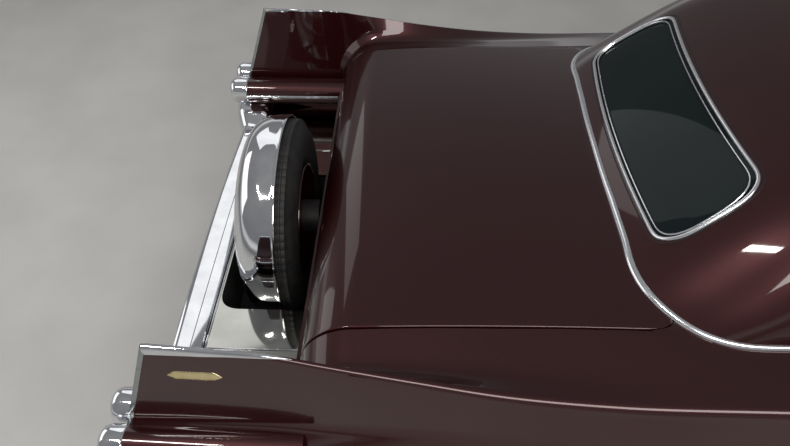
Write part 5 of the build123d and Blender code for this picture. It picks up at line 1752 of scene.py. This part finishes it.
for y in GAUGE_YS:
    gauges.append(turned([(.034, 0), (.040, -.010), (.044, -.006), (.044, .012), (.034, .012)],
                         (0.806, y, 0.845), (1, 0, 0), 40))
gauges.append(block((0.796, -0.560, 0.770), (0.812, 0.560, 0.778), 0.002, 2))
gauges.append(block((0.800, -0.090, 0.725), (0.812, 0.090, 0.765), 0.004, 2))
piece("dash_brightwork", join(*gauges), CHROME)
dials = [turned([(1e-4, 0), (.036, 0), (.036, .01), (1e-4, .01)], (0.812, y, 0.845), (1, 0, 0), 36)
         for y in GAUGE_YS]
piece("gauge_faces", join(*dials), SEAL_AND_SHADE)
WHEEL_PLACE = Vector((0.560, 0.370, 0.800))
WHEEL_AXIS = Vector((-math.sin(math.radians(62)), 0, math.cos(math.radians(62))))


def on_wheel(radius, angle, up):
    """A point in the steering wheel's own plane."""
    side = Vector((0, 1, 0))
    top = WHEEL_AXIS.cross(side)
    across = side * radius * math.cos(angle) + top * radius * math.sin(angle)
    return WHEEL_PLACE + across + WHEEL_AXIS * up


turns = np.linspace(0, 2 * math.pi, 90, endpoint=False)
rim_path = [on_wheel(0.200, a, 0.0)[:] for a in turns]
wheel_rim = swept(rim_path, oval(0.021, 0.0105, 14, 1.0), closed=True, up=WHEEL_AXIS[:])
spokes = []
for a in (0.25, math.pi - 0.25, 1.5 * math.pi):
    path = [on_wheel(r, a, -0.014 + 0.014 * (r / 0.19))[:] for r in np.linspace(0.02, 0.195, 8)]
    spokes.append(swept(path, oval(0.022, 0.006, 12, 1.0), up=WHEEL_AXIS[:]))
boss_line = [(1e-4, .012), (.020, .010), (.034, .002), (.038, -.012), (.034, -.030),
             (.022, -.040), (.022, -.330), (1e-4, -.330)]
boss = turned(boss_line, WHEEL_PLACE[:], WHEEL_AXIS[:], 40)
piece("steering_rim", join(wheel_rim, *spokes, boss), IVORY, "body", "trim_dark",
      ["steering_wheel"])
horn_turns = np.linspace(0, 2 * math.pi, 60, endpoint=False)
horn = swept([on_wheel(0.120, a, 0.006)[:] for a in horn_turns], oval(0.008, 0.004, 10, 1.0),
             closed=True, up=WHEEL_AXIS[:])
piece("horn_ring", horn, CHROME)

# %% [markdown]
# Under the hood stands a plain V8: block, heads with plain covers, a round air cleaner, fan and
# radiator. The lid's arms are pressed goosenecks that dip under the deck's edge and carry the trunk
# lid.

# %% Engine and lid arms
BANK_TILT = math.radians(-42)


def on_bank(shape, side):
    """A part laid on one bank of the engine's vee."""
    points, faces = shape
    tilt = Matrix.Rotation(side * BANK_TILT, 4, "X")
    spots = np.array([(tilt @ Vector((0, y, z)))[1:] for _, y, z in points])
    return np.column_stack([points[:, 0], spots[:, 0] + side * 0.138, spots[:, 1] + 0.690]), faces


motor = [block((1.300, -0.150, 0.420), (1.900, 0.150, 0.660), 0.03),
         block((1.260, -0.200, 0.480), (1.300, 0.200, 0.740), 0.02),
         block((0.700, -0.088, 0.342), (1.262, 0.088, 0.440), 0.03),
         block((0.065, -0.060, 0.350), (0.705, 0.060, 0.430), 0.025)]
motor += [on_bank(block((1.340, -0.065, -0.075), (1.860, 0.065, 0.075), 0.02), side)
          for side in (-1, 1)]
piece("engine_castings", join(*motor), CAST, "body", "engine", ["engine_block"])
covers = [on_bank(block((1.360, -0.050, 0.072), (1.840, 0.050, 0.112), 0.018), side)
          for side in (-1, 1)]
piece("rocker_covers", join(*covers), DASH)
cleaner_line = [(1e-4, .088), (.020, .086), (.024, .076), (.130, .068), (.172, .060), (.176, .020),
                (.160, 0), (.060, -.010), (.056, -.090), (1e-4, -.090)]
cleaner = turned(rounded(cleaner_line, 0.008), (1.600, 0, 0.800), (0, 0, 1), 64)
piece("air_cleaner", cleaner, FRAME_BLACK)
FAN_Z = 0.620
BLADES = 5
hub_line = [(1e-4, -.01), (.05, -.01), (.05, .03), (1e-4, .03)]
blades = [turned(hub_line, (1.930, 0, FAN_Z), (1, 0, 0), 32)]
for k in range(BLADES):
    turn = 2 * math.pi * k / BLADES
    path = [(1.944, r * math.cos(turn), FAN_Z + r * math.sin(turn)) for r in (0.04, 0.11, 0.19)]
    facing = (0.85, 0.5 * math.sin(turn), -0.5 * math.cos(turn))
    blades.append(swept(path, oval(0.060, 0.002, 8, 1.0), up=facing))
piece("cooling_fan", join(*blades), FRAME_BLACK)
radiator = [block((2.050, -0.330, 0.440), (2.100, 0.330, 0.800), 0.012),
            block((2.035, -0.340, 0.800), (2.115, 0.340, 0.850), 0.015)]
piece("radiator", join(*radiator), FRAME_BLACK)
arm_line = rounded([(-1.258, ARM_Y, 0.974), (-1.272, ARM_Y, 0.962), (-1.292, ARM_Y, 0.868),
                    (-1.330, ARM_Y, 0.826), (-1.400, ARM_Y, 0.838), (-1.440, ARM_Y, 0.970)], 0.03, 6)
arm_section = [(-.008, -.008), (.008, -.008), (.008, .008), (-.008, .008)]
piece("lid_arms", both(swept(arm_line, arm_section, up=(0, 1, 0))), FRAME_BLACK, "decklid")

# %% [markdown]
# Small outside trim: handles, drip rails over the side glass, a plain hood spear, wipers, and
# mouldings on the belt of the doors. Each is a short sweep with a rounded section.


# %% Small outside trim
HANDLE_Z = 0.835


def on_door(x, lift):
    """A place above the door's skin at the handle's height."""
    return (x, side_y(x, HANDLE_Z) + lift, HANDLE_Z)


handle_shares = np.linspace(0, 1, 16)
handle = [on_door(x, 0.009 + 0.014 * math.sin(math.pi * t) ** 0.6)
          for t, x in zip(handle_shares, np.linspace(-0.470, -0.325, 16))]
button_line = [(1e-4, .012), (.010, .011), (.013, .006), (.013, -.010)]
button = turned(button_line, on_door(-0.312, 0.002), (0, 1, 0), 28)
pad_line = [(1e-4, .006), (.012, .005), (.016, -.004)]
pads = [turned(pad_line, on_door(x, 0.003), (0, 1, 0), 24) for x in (-0.466, -0.330)]
grip = swept(handle, oval(0.016, 0.006, 12, 1.0), up=(0, 1, 0))
pair("door_handle", join(grip, button, *pads), CHROME, "door_SIDE", "chrome")
DRIP_SIDE = [(.700, 1.010), (.560, 1.140), (.440, 1.270), (.345, 1.385), (.0, 1.396), (-.4, 1.388),
             (-.745, 1.368), (-.830, 1.320), (-.905, 1.180)]
drip_line = rounded([(x, 0, z) for x, z in DRIP_SIDE], 0.10, 9)
drip_spots, drip_normals = on_house(drip_line, (0, -1, 0))
drip = swept(soften(drip_spots, 3, closed=False), oval(0.014, 0.008, 12, 0.6),
             up=soften(drip_normals, 4, closed=False))
pair("drip_rail", drip, CHROME, "body", "chrome")
door_belt_y = UNDER_ROOF + 0.006
door_belt_path = []
for x in np.linspace(DOOR_FRONT - 0.004, DOOR_REAR + 0.002, 60):
    ledge = side_slice(x)[-10:][::-1]
    z = float(np.interp(door_belt_y, ledge[:, 0], ledge[:, 1])) + 0.001
    door_belt_path.append((x, door_belt_y, z))
door_belt = swept(door_belt_path, oval(0.018, 0.009, 14, 0.4))
pair("door_belt", door_belt, CHROME, "door_SIDE", "chrome")
spear_xs = np.linspace(1.25, 2.50, 50)
spear = [(x, 0.0, through(HOOD_SHAPE, x)[0][3] + 0.004) for x in spear_xs]
spear_size = 0.35 + 0.65 * smooth(1.25, 2.35, spear_xs)
hood_spear = swept(spear, oval(0.016, 0.010, 14, 0.5), scales=spear_size)
piece("hood_spear", hood_spear, CHROME, "hood", "chrome")
wipers = []
for y0, y1 in ((0.46, 0.02), (-0.14, -0.58)):
    path = [(0, y0 + (y1 - y0) * t, 1.000 + 0.055 * math.sin(t * 1.4))
            for t in np.linspace(0, 1, 10)[3:]]
    spots, normals = on_house(path, (-1, 0, 0))
    blade = spots + normals * 0.012
    wipers.append(swept(blade, oval(0.006, 0.010, 8, 0.4), up=normals))
piece("wiper_blades", join(*wipers), STEEL)
print("small trim made")

# %% [markdown]
# Some pieces of the frame stay as they were packed, since they are plain on the real car too:
# rails, springs, tank, pipes. They only need their finishes.

# %% Underbody finishes
KEPT = {"chassis_frame": FRAME_BLACK, "floor_pan": FRAME_BLACK, "parcel_shelf": CARPET,
        "rear_panel": PAINT, "rear_axle": FRAME_BLACK, "front_suspension": FRAME_BLACK,
        "exhaust": PIPE, "fuel_tank": FRAME_BLACK, "knuckle_left": FRAME_BLACK,
        "knuckle_right": FRAME_BLACK}
for name, material in KEPT.items():
    kept = bpy.data.objects[name]
    kept.data.materials.clear()
    kept.data.materials.append(material)
print("kept nodes", len(KEPT))

# %% [markdown]
# The studio is a pale floor under a sky with steps of light: a bright band at the horizon, dim
# walls above it and a slightly brighter ceiling. Dark lacquer shows its shape through such steps. A
# uniform sky would be simpler, but the paint would then look flat. Four lamps add the long glow on
# the shoulder and the light on the bumper and the rear wall.

# %% Studio
ground = bpy.data.meshes.new("ground")
FLOOR_HALF = 14
floor_corners = [(x * FLOOR_HALF, y * FLOOR_HALF, 0) for x, y in ((-1, -1), (1, -1), (1, 1), (-1, 1))]
ground.from_pydata(floor_corners, [], [(0, 1, 2, 3)])
ground.materials.append(FLOOR)
ground_object = bpy.data.objects.new("ground", ground)
bpy.context.scene.collection.objects.link(ground_object)

world = bpy.data.worlds.new("studio")
bpy.context.scene.world = world
world.use_nodes = True
world_nodes = world.node_tree.nodes
world_links = world.node_tree.links
view = world_nodes.new("ShaderNodeTexCoord")
split = world_nodes.new("ShaderNodeSeparateXYZ")
world_links.new(view.outputs["Generated"], split.inputs["Vector"])
sky = world_nodes.new("ShaderNodeValToRGB")
NADIR_LIGHT = 0.13
ZENITH_LIGHT = 0.31
SKY_STEPS = [(0.495, 0.28), (0.505, 0.62), (0.540, 0.60), (0.58, 0.21), (0.90, 0.25)]
sky.color_ramp.elements[0].color = (NADIR_LIGHT, NADIR_LIGHT, NADIR_LIGHT, 1)
sky.color_ramp.elements[1].color = (ZENITH_LIGHT, ZENITH_LIGHT, ZENITH_LIGHT, 1)
for place, value in SKY_STEPS:
    mark = sky.color_ramp.elements.new(place)
    mark.color = (value, value, value * 1.02, 1)
level_map = world_nodes.new("ShaderNodeMapRange")
level_map.inputs["From Min"].default_value = -1.0
world_links.new(split.outputs["Z"], level_map.inputs["Value"])
world_links.new(level_map.outputs["Result"], sky.inputs["Fac"])
world_links.new(sky.outputs["Color"], world_nodes["Background"].inputs["Color"])
world_nodes["Background"].inputs["Strength"].default_value = 1.0


def panel_light(name, place, aim, width, length, power, tint):
    """A soft rectangular lamp that looks at a point."""
    data = bpy.data.lights.new(name, "AREA")
    data.shape = "RECTANGLE"
    data.size = width
    data.size_y = length
    data.energy = power
    data.color = tint
    lamp = bpy.data.objects.new(name, data)
    lamp.location = place
    lamp.rotation_euler = (Vector(aim) - Vector(place)).to_track_quat("-Z", "Y").to_euler()
    bpy.context.scene.collection.objects.link(lamp)


WARM = (1.0, 0.98, 0.95)
WARMER = (1.0, 0.97, 0.93)
WHITE = (1.0, 1.0, 1.0)
# name, place, aim, width, length, watts, tint
LAMPS = [("key_panel", (-0.4, -5.2, 5.4), (-1.2, 0.0, 0.6), 5.0, 2.2, 270, WARM),
         ("shoulder_strip", (-4.4, -2.4, 6.0), (-1.0, -0.4, 1.0), 1.8, 0.20, 100, WARMER),
         ("bumper_card", (-4.25, 3.55, 3.87), (-2.7, 0.0, 0.6), 1.7, 2.8, 14, WHITE),
         ("rear_wall", (-6.0, 0.6, 2.3), (-2.6, 0.0, 0.8), 3.4, 1.8, 26, WHITE)]
for lamp_row in LAMPS:
    panel_light(*lamp_row)
print("lamps", len(LAMPS))
